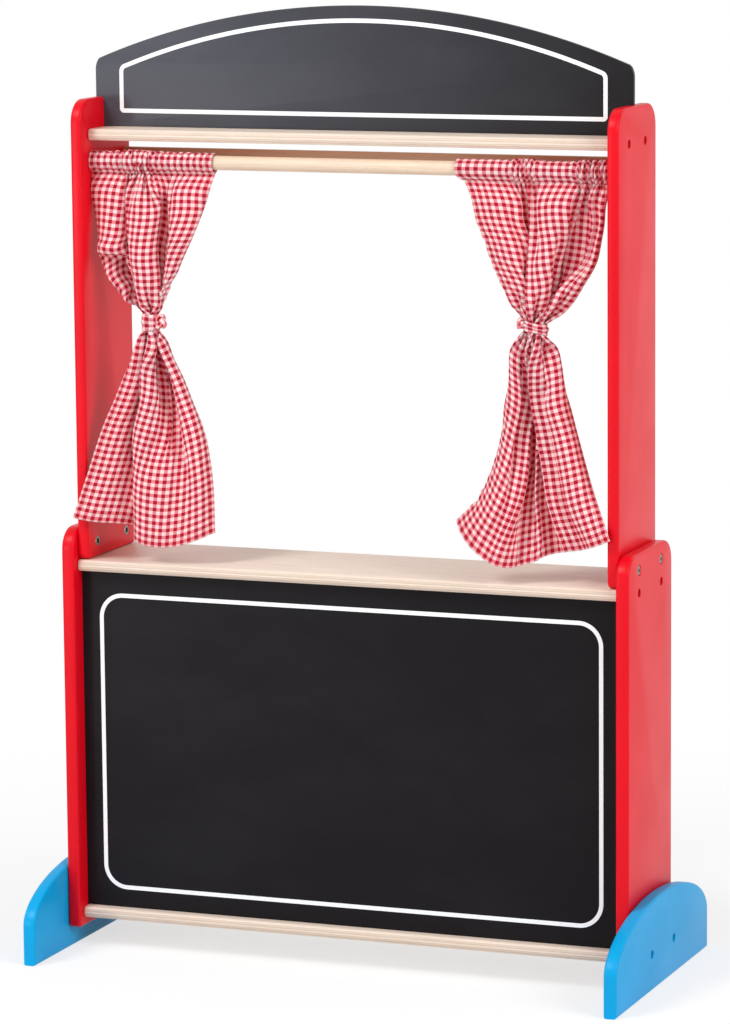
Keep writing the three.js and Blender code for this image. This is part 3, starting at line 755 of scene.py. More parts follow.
class THEATER_OT_stage(bpy.types.Operator):
    """Sets the floor, the lamps, the surroundings and the camera"""
    bl_idname = "theater.stage"
    bl_label = "Stage"

    def execute(self, context):
        settings = context.scene.theater_stage
        self.floor(settings.floor)
        self.surroundings(context.scene)
        self.lamps(settings.key)
        self.camera()
        context.scene.view_settings.view_transform = "Standard"
        return {"FINISHED"}

    def floor(self, colour):
        """Plain white to the eye far from the stand, and lit near it, where the shadow falls"""
        floor = disc("floor", 96, FLOOR_RADIUS, (0, 0, -FLOOR_DROP), (0, 0, 0))
        recipe = Recipe("floor_paint")
        place = recipe.place()
        rough = recipe.spread(recipe.noise(place, 3, 3), 0, 1, 0.4, 0.6)
        lit = recipe.node("BsdfDiffuse", {"Color": colour, "Roughness": rough})
        glow = recipe.node("Emission", {"Color": WHITE, "Strength": 1.0})
        away = recipe.node("VectorMath", {0: place}, operation="LENGTH").outputs["Value"]
        far = recipe.spread(away, 0.4, 1.3, 0.66, 1)
        wear_material(floor, recipe.finish_backdrop("OutputMaterial", lit, glow, far))

    def surroundings(self, scene):
        recipe = Recipe("studio", "worlds")
        soft = recipe.node("Background", {"Color": WHITE, "Strength": WORLD_STRENGTH})
        white = recipe.node("Background", {"Color": WHITE})
        scene.world = recipe.finish_backdrop("OutputWorld", soft, white)

    def lamps(self, power):
        for name, (place, size, share) in LAMPS.items():
            data = bpy.data.lights.new(name, "AREA")
            data.shape = "DISK"
            data.size = size
            data.energy = power * share
            lamp = bpy.data.objects.new(name, data)
            lamp.location = place
            lamp.rotation_euler = (LAMPS_AIM - Vector(place)).to_track_quat("-Z", "Y").to_euler()
            bpy.context.scene.collection.objects.link(lamp)

    def camera(self):
        data = bpy.data.cameras.new("camera")
        data.lens = CAMERA_LENS
        data.sensor_width = 36
        data.clip_end = 200
        camera = bpy.data.objects.new("camera", data)
        placed = Matrix.Translation(CAMERA_PLACE)
        for angle, axis in ((CAMERA_YAW, "Z"), (90 - CAMERA_PITCH, "X"), (CAMERA_ROLL, "Z")):
            placed @= Matrix.Rotation(math.radians(angle), 4, axis)
        camera.matrix_world = placed
        bpy.context.scene.collection.objects.link(camera)
        bpy.context.scene.camera = camera


# Where the cloth lies, in millimetres: at each height down from the rod, places across and in front of the
# rod's axis, from the edge at the post to the edge in the window. A third number says how much of the spare
# width folds that nobody sees take up from there to the next place, and a fourth lifts the place. Both are 0
# where they are left out. A place of the hem ends with its own height.
UPPER_LEFT = (
    (893, ((-309, 0, 0.1), (-301, 1, 0.1), (-289, 1, 0.1), (-277, 0, 0.3), (-269, 0, 2.2), (-261, 0, 2.4),
     (-252, 1, 2.4), (-243, 1, 2.2), (-235, 0, 0.3), (-222, 0, 0.1), (-206, 0, 0.1), (-190, 1, 0.1),
     (-174, 0, 0.1), (-159.5, 0))),
    (878, ((-307, 0, 1), (-308, 5), (-296, 8), (-282, 9), (-268, 7), (-264, 0, 2), (-262, -5, 2),
     (-261, 1, 2), (-259, 7, 1), (-252, 10, 1.5), (-245, 8, 1.5), (-238, 10, 1.5), (-230, 10, 0.5),
     (-222, 8, 0.3), (-217, 4, 0.5), (-214, -2, 1), (-212, 3, 1), (-208, 7), (-197, 9), (-184.8, 9),
     (-173, 7), (-163.6, 4))),
    (850, ((-300, -6), (-307, 0), (-297, 9), (-281, 12), (-271, 10), (-267, -1, 1), (-266, -13, 1),
     (-265, -2, 1), (-264, 9), (-252, 15), (-240, 16), (-230.5, 15), (-225.5, 10), (-225.5, 3),
     (-229, -3, 1), (-226, -8, 1), (-218, -8), (-214, -3), (-215, 4), (-210, 10), (-199.1, 13), (-184.9, 11),
     (-175.5, 6), (-176.7, -3))),
    (822, ((-296, -9), (-304, -2), (-297, 10), (-283, 16), (-273, 14), (-268, 4, 1), (-266, -11, 1),
     (-265, -2, 1), (-264, 9), (-254, 17), (-243, 20), (-234, 17), (-228.5, 10), (-228.5, 2), (-231, -5, 1),
     (-226, -10, 1), (-220, -10), (-215.2, -5, 1), (-216.4, 4), (-210, 13), (-197.2, 15), (-187, 8),
     (-188.3, -2))),
    (806, ((-293, -9, 0, -1), (-303, -2, 0, -3), (-299, 11, 0, -5), (-286, 18, 0, -5), (-274, 17, 0, -5),
     (-268, 6, 0.8, -2), (-265, -11, 0.8), (-264, -1, 0.8), (-263, 10), (-254, 18), (-243, 21), (-234, 18),
     (-229, 10), (-229, 2), (-231, -6, 4.8), (-226, -11, 4.8), (-220.3, -11), (-216.1, -6, 4.8), (-216.7, 4),
     (-210.8, 13), (-201.3, 12), (-195.4, 5), (-196.6, -3))),
    (796, ((-293, -10, 0, 1), (-302, -4, 0, 2), (-300, 5, 0, 4), (-288, 3, 0, 4), (-277, -4, 0, 4),
     (-269, -10, 9.2, 2), (-264, -12, 9.2), (-263, -1, 9.2), (-262, 10), (-253, 19), (-242.5, 22),
     (-233.5, 18), (-228.5, 10), (-228.5, 2), (-230, -7, 5.8), (-225.5, -12, 5.8), (-220, -12),
     (-216.6, -6, 5.8), (-217.2, 4), (-212.1, 13), (-205.3, 11), (-200.8, 4), (-201.9, -4))),
    (780, ((-286, -12), (-295, -5), (-294, 6), (-287, 9), (-280, 4), (-274, -6, 3), (-267, -13, 6),
     (-261, -13, 6), (-259, 0, 6), (-258, 10), (-251, 18), (-241, 21), (-232, 18), (-227, 10),
     (-227, 2, 4.3), (-228, -6, 8.6), (-225, -12, 8.6), (-220.5, -11), (-218.5, -5, 8.6), (-218.5, 4),
     (-214.5, 12), (-210, 8), (-208, 1), (-209.5, -5))),
    (762, ((-275, -10), (-283, -5), (-281, 7), (-273, 11), (-267, 5), (-262, -6, 11.6), (-256, -11, 11.6),
     (-254, -3, 11.6), (-252, 9, 1.4), (-247, 17, 1.4), (-239, 20, 1.4), (-232, 17, 1.4), (-227.5, 10),
     (-226.5, 2, 10.5), (-227.5, -5, 10.5), (-225.7, -11, 10.5), (-224.3, -5, 10.5), (-224.3, 4, 3.1),
     (-222.9, 11), (-220.2, 5), (-221.6, -4))),
    (744, ((-262, -6, 13.1), (-268.5, -3, 7.9), (-267, 4, 7.9), (-260, 9, 7.9), (-254.5, 6, 7.9),
     (-250.5, 0, 13.1), (-247.5, -6, 13.1), (-246, 0, 13.1), (-244.5, 6, 8.1), (-241.5, 12, 8.1),
     (-237.5, 14, 8.1), (-234, 12, 8.1), (-231, 7, 7.6), (-230, 1, 12.6), (-233.9, -4, 12.6),
     (-233.4, -8, 12.6), (-233.1, -3, 12.6), (-233.1, 3, 7.6), (-232.6, 9, 7.6), (-231.4, 4, 7.6),
     (-232.2, -3))),
)
LOWER_LEFT = (
    (700, ((-249, 6, 1), (-249, 9, 0.2), (-245.5, 8, 0.2), (-243, 1, 1), (-241.5, -4, 1), (-241, -2, 1),
     (-241, 6, 0.2), (-238.5, 12, 0.2), (-233.5, 13, 0.2), (-233, 7, 1), (-232.2, -5, 1), (-228.8, -5, 0.2),
     (-228, 6, 0.2), (-224.6, 9, 0.2), (-222.1, 6, 0.2), (-222.1, 0))),
    (665, ((-270, 9), (-263, 13), (-253, 12), (-246.5, 2, 1), (-243, -9, 1), (-241, -8, 1), (-243, 4, 1),
     (-243.5, 13), (-238, 19), (-232, 17), (-229.5, 5, 0.5), (-227.9, -8, 1), (-218.2, -8, 0.3), (-216, 6),
     (-209.6, 13), (-202, 8), (-203.1, -3))),
    (640, ((-279, 15), (-268, 17), (-257, 12), (-251, 1, 1), (-248, -10, 1), (-245, -11, 1), (-246.5, 0, 1),
     (-247.5, 12), (-244, 21), (-237, 24), (-229, 21), (-225.5, 8, 0.3), (-224, -5, 1), (-212.6, -5, 0.3),
     (-209.4, 9), (-200.7, 16), (-191, 12), (-191, 0))),
    (605, ((-292, 24), (-276, 22), (-263, 13), (-257, 2, 0.5), (-254, -10, 1), (-250, -12, 1), (-250, -3, 1),
     (-252, 8, 0.5), (-253, 18), (-250, 25), (-240, 29), (-229, 27), (-222, 15, 0.3), (-218, 4, 0.5),
     (-207, 5, 0.5), (-200, 16), (-189.5, 20), (-177.3, 15), (-174.5, 4))),
    (560, ((-305, 33), (-290, 29), (-276, 22), (-268, 13), (-261, 2, 0.5), (-256, -7, 1), (-252, -12, 1),
     (-250, -8, 1), (-252, 1, 1), (-254.5, 12), (-255.5, 21), (-249, 29), (-233, 33), (-216, 28, 0.3),
     (-204, 21, 0.3), (-189, 25, 0.3), (-173.6, 22), (-163, 10))),
)
HEM_LEFT = (
    (-323, 42, 0, 503), (-305, 37, 0, 499), (-288, 28, 0, 496), (-275, 19, 0, 495), (-266, 7, 0, 493),
    (-260.5, -4, 1, 491), (-255, -11, 1, 489), (-252, -7, 1, 487), (-254, 2, 1, 484), (-256, 14, 0, 482),
    (-256.5, 23, 0, 479.5), (-248, 30, 0, 475), (-230, 33, 0, 472), (-211, 32, 0, 472), (-193, 31, 0, 475),
    (-176, 25, 0, 482), (-159, 13, 0, 491.5),
)
UPPER_RIGHT = (
    (893, ((305.5, 0, 1.2), (296, 1, 1.2), (287, 0, 1.2), (277, 0, 1.2), (267, 1), (252, 0), (237, 1),
     (221, 0, 0.6), (213, 1, 0.6), (205, 0, 0.6), (197, 1, 0.1), (180, 0, 0.1), (168, 1, 0.1),
     (154.8, 1, 0.1), (138, 0))),
    (874, ((299.3, -2), (300.6, 6), (297.8, 10), (293.8, 5), (289, -2, 1), (283.4, -3, 1), (274.9, -5, 1),
     (267.6, -6, 1), (266.7, 2, 1), (263.8, 9), (252.7, 12), (236.3, 10), (221.6, 5, 1), (216, -3, 1),
     (205.3, -7, 1), (198.8, -3, 1), (196.9, 5), (189.7, 9), (179, 11), (163.4, 10), (146, 4))),
    (850, ((296.9, -3), (298.7, 6), (296.5, 11), (293.3, 5), (289, -3, 1), (280.6, -5), (270, -8),
     (260, -9, 1), (259, 0, 1), (257.5, 9), (250.7, 14), (236.9, 13), (221.3, 6, 1), (216.1, -4, 1),
     (207.5, -9), (202.3, -5, 1), (200.1, 4, 1), (194.3, 10), (183.1, 12), (168.8, 10), (151.8, 5))),
    (830, ((293.2, -3), (295.1, 5), (292, 11), (289, 5), (285, -4, 1), (276.4, -7), (265, -10),
     (252, -11, 1), (251, -1, 1), (250.5, 9), (245.7, 15), (235.9, 15), (222, 8, 1), (216.1, -1, 1),
     (211.1, -9, 1), (207.5, -6, 1), (204.4, 4), (198.9, 11), (187.6, 13), (174.6, 10), (160, 4))),
    (805, ((286.9, -4), (288.4, 5), (284.3, 11), (280.7, 5), (276.5, -4, 1), (268.8, -8), (257.9, -11),
     (244.4, -12, 1), (243.1, -2, 1), (243, 7), (241, 14), (233.9, 17), (221.9, 14), (216, 6, 1),
     (212.7, -3, 1), (209.4, -7, 1), (209.8, 3), (205.7, 11), (195.8, 13), (182, 9), (168, 2))),
    (781, ((271.3, -4), (273.7, 3), (270.9, 10), (263.8, 13), (257.5, 7, 1), (253.9, -4, 1), (246.4, -9, 1),
     (237.8, -11, 1), (236.5, -4, 1), (237.3, 4), (236.7, 12), (231.1, 17), (220.9, 15), (213.8, 9, 1),
     (210.4, 1, 1), (207.7, -6, 1), (209.1, 2, 1), (208.2, 9), (201.2, 11), (190.1, 8), (179, 1))),
    (758, ((251.1, -3, 0.6), (253.1, 3, 0.6), (249.2, 9, 0.6), (242.4, 13, 0.6), (236.3, 10, 1),
     (232.8, 3, 1), (230.9, -5, 1), (228.4, -8, 1), (228.9, 2, 1), (228.4, 10, 0.6), (224.1, 15, 0.6),
     (216.5, 14, 0.6), (209.8, 8, 1), (207.3, 1, 1), (205, -4, 1), (205.5, 3, 1), (205.2, 8, 0.6),
     (200.3, 6, 0.6), (194.2, 1))),
)
LOWER_RIGHT = (
    (708, ((232.7, -3, 1), (233.5, 1, 1), (232.7, 6, 1), (231.1, 10, 1), (227.9, 12, 1), (224.2, 11, 1),
     (220.5, 6, 1), (217.6, 1, 1), (213.5, -2, 1), (211.3, -5, 1), (209.9, -4, 1), (209.9, 2, 1),
     (208.2, 8, 1), (203.9, 9, 1), (200.7, 6, 1), (198.9, 1))),
    (690, ((238.7, -3, 0.5), (239.7, 3, 0.5), (238.3, 10, 0.5), (234.6, 15, 0.5), (229.2, 15, 0.5),
     (223.6, 9, 1), (219.5, 0, 1), (215.7, -6, 1), (212, -8, 1), (209.9, -10, 1), (209.5, -7, 1),
     (210.6, 2, 0.5), (208.7, 9, 0.5), (203.6, 11, 0.5), (198.9, 8, 0.5), (195.5, 1))),
    (655, ((255.9, -2), (255.6, 8), (251.1, 17), (244.7, 20), (236.2, 17), (228.4, 8, 1), (222, -5, 1),
     (216.8, -12), (210.2, -12), (204.8, -13, 1), (205.1, -5, 1), (207, 6), (203.9, 13), (196.9, 14),
     (189.1, 10), (183.6, 2))),
    (620, ((267.5, 2), (267.1, 12), (262.7, 21), (255.6, 25), (247.1, 22), (237.5, 13, 1), (230, 0, 1),
     (221.8, -9), (213, -10), (205.2, -8, 1), (201.9, 0, 1), (201.7, 10), (200.3, 18), (193.9, 19),
     (186.1, 14), (180.3, 4))),
    (585, ((280.1, 9), (277.8, 19), (273, 27), (264.8, 29), (255.9, 26), (246.6, 18, 1), (235.7, 7, 1),
     (225.2, 0, 0.5), (215.4, -1, 0.5), (207, 2, 1), (202.8, 11, 1), (199.8, 20), (195.6, 26), (187.2, 25),
     (177.9, 19), (172.5, 10))),
    (550, ((295.5, 21), (289.9, 29), (280.3, 33), (268.6, 32), (258, 27, 0.5), (245.6, 18, 1),
     (234.2, 11, 1), (224.1, 8, 0.5), (215.3, 10, 1), (207.6, 17, 1), (201.9, 25, 0.5), (197.2, 33),
     (190.2, 37), (180.4, 35), (167.2, 28), (159.5, 20))),
)
HEM_RIGHT = (
    (318, 40, 0, 509), (309, 37, 0, 505), (297.5, 35, 0.3, 500), (287, 32, 0.3, 496.5),
    (275.9, 25, 0.6, 493), (263.9, 17, 0.6, 490.5), (250.6, 11, 0.6, 488), (238.9, 9, 0.6, 485),
    (228.7, 12, 0.6, 482), (219.7, 19, 0.6, 477.5), (213.1, 28, 0.5, 472), (205.7, 34, 0.3, 470.8),
    (194.3, 39, 0.3, 471.9), (179.9, 42, 0.2, 475.1), (164.4, 41, 0, 483), (150.5, 37, 0, 495),
    (139.9, 30, 0, 511), (131.5, 19, 0, 529),
)
LAYS = {
    "left": {"upper": UPPER_LEFT, "lower": LOWER_LEFT, "hem": HEM_LEFT, "lip": 0.0},
    "right": {"upper": UPPER_RIGHT, "lower": LOWER_RIGHT, "hem": HEM_RIGHT, "lip": 10.5},
}


class Tie:
    """Where a tie draws its curtain together, in millimetres across, in front of the rod and up."""

    def __init__(self, side, rod_depth):
        low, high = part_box("tie_" + side)
        left = side == "left"
        self.outward = -1 if left else 1
        self.across = low.x / MM + 12 if left else high.x / MM - 15
        self.front = rod_depth - (low.y + high.y) / 2 / MM
        self.height = (low.z + high.z) / 2 / MM + (3 if left else 0.5)
        self.half_width, self.half_depth = (9.0, 8.0) if left else (12.5, 8.5)
        self.half_height = 9.5 if left else 5.5
        self.tilt = 0.0 if left else -0.2
        self.creases = 0.4 if left else 0.8
        self.knot_size, self.knot_lift = (3.9, 0.5) if left else (3.0, 0.5)

    def middle(self, across):
        return self.height + self.tilt * (across - self.across)

    def draw(self, places):
        """Draws places near the tie into the oval that its band leaves."""
        away = np.abs(places[:, :, 2] - self.middle(places[:, :, 0])) - self.half_height
        off = places[:, :, :2] - (self.across, self.front)
        room = 1 + np.clip(away, 0, None) * 0.09
        deep = np.hypot(off[:, :, 0] / self.half_width, off[:, :, 1] / self.half_depth) / room
        pull = np.clip(1.4 - away / 8, 0, 1)
        shrink = 1 - pull * (1 - 1 / np.maximum(deep, 1))
        return off * shrink[:, :, None] + (self.across, self.front)


def slopes_of(places, values):
    """The slopes of a smooth line through some values, one row for each place."""
    steps = np.diff(places)[:, None]
    chords = np.diff(values, axis=0) / steps
    slopes = np.empty_like(values)
    slopes[0], slopes[-1] = chords[0], chords[-1]
    weights = steps[1:] / (steps[:-1] + steps[1:])
    slopes[1:-1] = chords[:-1] * weights + chords[1:] * (1 - weights)
    return slopes


def through(places, values, wanted):
    """A smooth line through rows of values at rising places, read at the wanted places."""
    places, values = np.asarray(places, float), np.asarray(values, float)
    slopes = slopes_of(places, values)
    left = np.clip(np.searchsorted(places, wanted, side="right") - 1, 0, len(places) - 2)
    width = (places[left + 1] - places[left])[:, None]
    part = ((wanted - places[left]) / width[:, 0])[:, None]
    rest = 1 - part
    return (values[left] * (rest**2) * (1 + 2 * part) + values[left + 1] * (part**2) * (1 + 2 * rest)
            + slopes[left] * width * part * rest**2 - slopes[left + 1] * width * part**2 * rest)


def cloth_row(keys, across, height):
    """One row of the cloth through its key places, above a height, spaced so that it has the cut width."""
    keys = np.array([(*key, 0, 0)[:4] for key in keys], float) + (0, 0, 0, height)
    lengths = np.linalg.norm(np.diff(keys[:, :2], axis=0), axis=1)
    slack = keys[:-1, 2]
    spare = CUT_WIDTH - lengths.sum()
    spaced = lengths + spare * slack * lengths / (slack * lengths).sum() if spare > 0 else lengths
    places = np.concatenate([[0], np.cumsum(spaced)])
    return through(places * CUT_WIDTH / places[-1], np.delete(keys, 2, axis=1), across)


def blurred(field, radius, axis):
    """A field smoothed along one axis, its ends held."""
    reach = int(3 * radius)
    weights = np.exp(-0.5 * (np.arange(-reach, reach + 1) / radius) ** 2)
    padded = np.pad(field, [(reach, reach) if k == axis else (0, 0) for k in range(2)], mode="edge")
    return np.apply_along_axis(lambda line: np.convolve(line, weights / weights.sum(), "valid"), axis, padded)


def laid_out(side, rod_height, tie):
    """The curtain's middle surface before it settles: rows of places across, in front of the rod and up."""
    lay = LAYS[side]
    across = np.linspace(0, CUT_WIDTH, COLUMNS + 1)
    bundle_x = tie.across + tie.outward * tie.half_width * (1 - 2 * across / CUT_WIDTH)
    bundle = [
        np.stack([bundle_x, np.full_like(across, tie.front), tie.middle(bundle_x) + up], 1)
        for up in (tie.half_height, 0, -tie.half_height)]
    upper, lower = (
        [cloth_row(keys, across, height) for height, keys in lay[part]] for part in ("upper", "lower"))
    rows = np.array([*upper, *bundle, *lower, cloth_row(lay["hem"], across, 0)])
    heights = rows[:, :, 2].mean(axis=1)
    wanted = np.linspace(heights[0], heights[-1], CLOTH_ROWS)[::-1]
    flat = rows[::-1].reshape(len(heights), -1)
    hang = through(heights[::-1], flat, wanted)[::-1].reshape(CLOTH_ROWS, -1, 3)
    down = wanted[::-1][:, None]

    # Spare width stands up in folds, fine at the pocket and coarse at the tie
    spread = np.linalg.norm(np.gradient(hang[:, :, :2], across, axis=1), axis=2)
    spare = np.sqrt(np.clip(1 - spread**2, 0, 1)) * (1.41 + 0.16 * (1 - np.clip(spread, 0, 1)))
    spare = blurred(blurred(spare, 2, 1), 3, 0)
    wave = np.sin(0.043 * across + 1.3) + 0.6 * np.sin(0.11 * across + 0.4)
    step = across[1] - across[0]
    packed = 1 - np.clip(np.gradient(upper[0][:, 0], across) * -tie.outward, 0.2, 1)
    fine_width = 9.5 + wave - 3.5 * blurred(packed[None], 3, 1)[0]
    coarse_width = 29 + 2.5 * wave
    broad_width = 54 + 4 * wave
    fine, coarse, broad = (
        width / (2 * math.pi) * np.sin(np.cumsum(2 * math.pi / width) * step)
        for width in (fine_width, coarse_width, broad_width))
    near_pocket = np.clip((down - (heights[0] - 26)) / 26, 0, 1)
    near_hem = np.clip((tie.height + 6 - down) / 34, 0, 1)
    fold = spare * (near_pocket * fine + (1 - near_pocket - near_hem) * coarse + 0.8 * near_hem * broad)
    along = [np.gradient(blurred(hang[:, :, k], 2, 1), axis=1) for k in range(2)]
    size = np.hypot(*along) + 1e-6
    hang[:, :, 0] += along[1] / size * fold * tie.outward
    hang[:, :, 1] -= along[0] / size * fold * tie.outward
    hang[:, :, :2] = tie.draw(hang)
    hang = even_threads(hang)

    # The pocket goes up behind the rod, over it and down in front
    turn = np.linspace(0, 2 * math.pi, POCKET_ROWS + 1)[:-1][:, None]
    pocket_x = upper[0][:, 0]
    squeeze = np.clip(np.abs(np.gradient(pocket_x, across)), 0.2, 1)
    stand = fine_width / (2 * math.pi) * np.sqrt(1 - squeeze**2) * 1.9
    wander = np.sin(1.7 * turn + across / 9) + 0.7 * np.sin(3.1 * turn - across / 5.3 + 2)
    ripple = stand * (1 + np.sin(np.cumsum(2 * math.pi / fine_width) * step + 0.7 * wander)) * 0.6
    pucker = 0.45 * np.sin(across / 2.2 + 2 * np.sin(across / 7.7)) * np.sin(turn - 1) ** 2
    radius = 10.2 + ripple + pucker
    tail = np.clip(1 - turn / 0.7, 0, 1) ** 2 + np.clip(1 - (2 * math.pi - turn) / 0.7, 0, 1) ** 2
    radius = radius + tail * (rod_height - heights[0] - radius)
    lip = lay["lip"] * -tie.outward * np.clip(across / CUT_WIDTH * 6 - 5, 0, 1) * (1 - tail)
    pocket = np.stack([pocket_x + lip, -radius * np.sin(turn), rod_height - radius * np.cos(turn)], 2)
    return np.concatenate([pocket, hang])


def smoothed(places, across=4, down=1.5):
    return np.stack([blurred(blurred(places[:, :, k], across, 1), down, 0) for k in range(3)], axis=2)


def even_threads(hang):
    """Spaces the rows evenly down each thread, since the tie holds the outer threads lower down."""
    steps = blurred(np.linalg.norm(np.diff(smoothed(hang), axis=0), axis=2), 5, 1)
    fallen = np.concatenate([np.zeros((1, steps.shape[1])), np.cumsum(steps, axis=0)])
    share = np.linspace(0, 1, len(hang))
    for column, thread in enumerate(fallen.T):
        for k in range(3):
            hang[:, column, k] = np.interp(share * thread[-1], thread, hang[:, column, k])
    return hang


def thread_steps(places):
    """The cloth's true step down at each place: one for the pocket, and each thread's own below it."""
    steps = np.linalg.norm(np.diff(smoothed(places), axis=0), axis=2)
    lengths = np.empty_like(steps)
    lengths[:POCKET_ROWS] = steps[:POCKET_ROWS - 1].mean() * 1.03
    threads = blurred(steps[POCKET_ROWS:].mean(axis=0)[None], 5, 1)[0]
    usual = np.median(threads)
    lengths[POCKET_ROWS:] = np.clip(threads, 0.94 * usual, 1.04 * usual)
    return lengths


def settled(laid, lengths, rod_height, tie, wall):
    """Lets the cloth settle: its threads keep their lengths, it hangs, and the rod, post and tie hold it."""
    step = CUT_WIDTH / COLUMNS
    rows, columns = laid.shape[:2]
    down = lengths[:, :, None]
    slant = np.hypot(step, down[:, 1:])
    place, before, guide = laid.copy(), laid.copy(), laid.copy()
    at_tie = laid[:, :, 2:] - tie.middle(laid[:, :, :1])
    held = np.where(np.abs(at_tie) < 0.4 * tie.half_height, 0.0, 1.0)
    below = np.where(at_tie < 0, 0.3, 1.0)[:, :, 0]

    def pull(first, second, rest, strength):
        gap = place[second] - place[first]
        move = gap * (0.5 * strength * (1 - rest / (np.sqrt((gap * gap).sum(axis=-1, keepdims=True)) + 1e-9)))
        place[first] += move * held[first]
        place[second] -= move * held[second]

    def pull_all(axis, reach, rest, strength, begin=0):
        total = (rows, columns)[axis]
        for start in range(begin, begin + 2 * reach):
            first, second = slice(start, total - reach, 2 * reach), slice(start + reach, None, 2 * reach)
            if axis:
                pull((slice(None), first), (slice(None), second), rest, strength)
            else:
                pull((first,), (second,), rest[first] if np.ndim(rest) else rest, strength)

    for turn in range(SETTLING_STEPS):
        speed = (place - before) * KEPT_SPEED
        before = place.copy()
        place += speed * held
        place[:, :, 2:] -= FALL * held
        if turn % 4 == 0:
            drift = smoothed(guide - place, 2, 2)
            drift[:, :, 2] *= below
            place += drift * held * (0.3 if turn < SETTLING_STEPS * 0.7 else 0.15)
        pull_all(1, 1, step, 1.0)
        pull_all(0, 1, down, 1.0)
        for start in (0, 1):
            upper, lower = slice(start, rows - 1, 2), slice(start + 1, None, 2)
            pull((upper, slice(0, -1)), (lower, slice(1, None)), slant[upper], 0.12)
            pull((upper, slice(1, None)), (lower, slice(0, -1)), slant[upper], 0.12)
        for reach, across, along in STIFFNESS:
            pull_all(1, reach, step * reach, across)
            pull_all(0, reach, lengths.mean() * reach, along, POCKET_ROWS)
        seam = (place[0] + place[POCKET_ROWS]) / 2
        seam[:, 0] += (guide[0, :, 0] - seam[:, 0]) * 0.5
        place[0] = place[POCKET_ROWS] = seam
        away = place[:POCKET_ROWS + 6, :, 1:] - (0, rod_height)
        far = np.sqrt((away * away).sum(axis=-1, keepdims=True)) + 1e-9
        place[:POCKET_ROWS + 6, :, 1:] += away * np.clip(POCKET_RADIUS / far - 1, 0, None)
        place[:, :, :2] = tie.draw(place)
        beside = np.minimum(place[:, :, 0] * tie.outward, wall[0]) * tie.outward
        place[:, :, 0] = np.where(place[:, :, 1] < wall[1], beside, place[:, :, 0])
    return place


def tie_band(tie):
    """The tie's creased band round the gathered cloth, and its places in the cut cloth."""
    around = np.linspace(0, 2 * math.pi, 121)[:, None]
    up = np.linspace(-1, 1, 17)[None]
    knot_side = 0 if tie.outward < 0 else math.pi
    beside = np.exp(-(np.abs(np.angle(np.exp(1j * (around - knot_side)))) / 0.5) ** 2)
    crease = np.sin(5.5 * up + 1.1 * np.sin(2 * around + 0.6) + 0.4) + 0.5 * np.sin(11 * up - 3 * around)
    proud = 1.0 + 0.9 * (1 - up**2) + tie.creases * crease * (1 - up**4)
    height = tie.half_height * (1 - 0.4 * beside) * (1 + 0.06 * np.sin(3 * around + 1))
    x = tie.across + (tie.half_width + proud) * np.cos(around)
    front = tie.front - (tie.half_depth + proud) * np.sin(around)
    z = tie.middle(x) + height * up + 0.5 * np.sin(2 * around + 2 * up)
    reach = math.pi * (tie.half_width + tie.half_depth)
    cut = np.broadcast_arrays(around / (2 * math.pi) * reach + 60, (up + 1) * 9.5 + 60)
    return np.stack([x, front, z], axis=2), np.stack(cut, axis=2)


def tie_knot(tie):
    """The knot that closes the tie, a creased strip passed over and under itself, and its cut places."""
    along = np.linspace(0, 2 * math.pi, 145)[:, None]
    around = np.linspace(0, 2 * math.pi, 25)[None]
    turn = along[:, 0]
    centre = np.stack([
        (np.sin(turn) + 2 * np.sin(2 * turn)) / 2.6, 0.6 * np.sin(3 * turn),
        (2 * np.cos(2 * turn) - np.cos(turn)) / 2.6], axis=1)
    ahead = np.gradient(centre, axis=0)
    ahead[0] = ahead[-1] = ahead[0] + ahead[-1]
    ahead /= np.linalg.norm(ahead, axis=1, keepdims=True)
    over = np.cross(ahead, np.cross((0.0, 1.0, 0.0), ahead))
    over /= np.linalg.norm(over, axis=1, keepdims=True)
    side = np.cross(ahead, over)
    creases = 1 + 0.10 * np.sin(4 * around + 5 * along) + 0.06 * np.sin(7 * around - 9 * along + 1)
    wide = tie.knot_size * 0.85 * creases * np.cos(around)
    thin = tie.knot_size * 0.8 * creases * np.sin(around)
    ring = side[:, None] * wide[:, :, None] + over[:, None] * thin[:, :, None]
    x = tie.across - tie.outward * (tie.half_width + tie.knot_size)
    middle = np.array([x, tie.front + 2.5, tie.middle(x) + tie.knot_lift])
    size = np.array([1.0, 1.0, 1.35]) * tie.knot_size
    cut = np.broadcast_arrays(along * 2.5 * tie.knot_size + 90, around * 0.8 * tie.knot_size + 90)
    return middle + centre[:, None] * size + ring, np.stack(cut, axis=2)


def grid_mesh(name, points, cut):
    """A sheet of square faces over rows of points, with its cut places as a UV map."""
    rows, columns = points.shape[:2]
    index = np.arange(rows * columns).reshape(rows, columns)
    faces = np.stack([index[:-1, :-1], index[1:, :-1], index[1:, 1:], index[:-1, 1:]], axis=2).reshape(-1, 4)
    mesh = bpy.data.meshes.new(name)
    mesh.from_pydata(points.reshape(-1, 3).tolist(), [], faces.tolist())
    layer = mesh.uv_layers.new(name="cloth")
    layer.data.foreach_set("uv", cut.reshape(-1, 2)[faces.reshape(-1)].astype(np.float32).ravel())
    mesh.shade_smooth()
    piece = bpy.data.objects.new(name, mesh)
    bpy.context.scene.collection.objects.link(piece)
    return piece


def apply_modifier(piece, kind, **settings):
    activate(piece)
    modifier = piece.modifiers.new(kind.title(), kind)
    for key, value in settings.items():
        setattr(modifier, key, value)
    bpy.ops.object.modifier_apply(modifier=modifier.name)


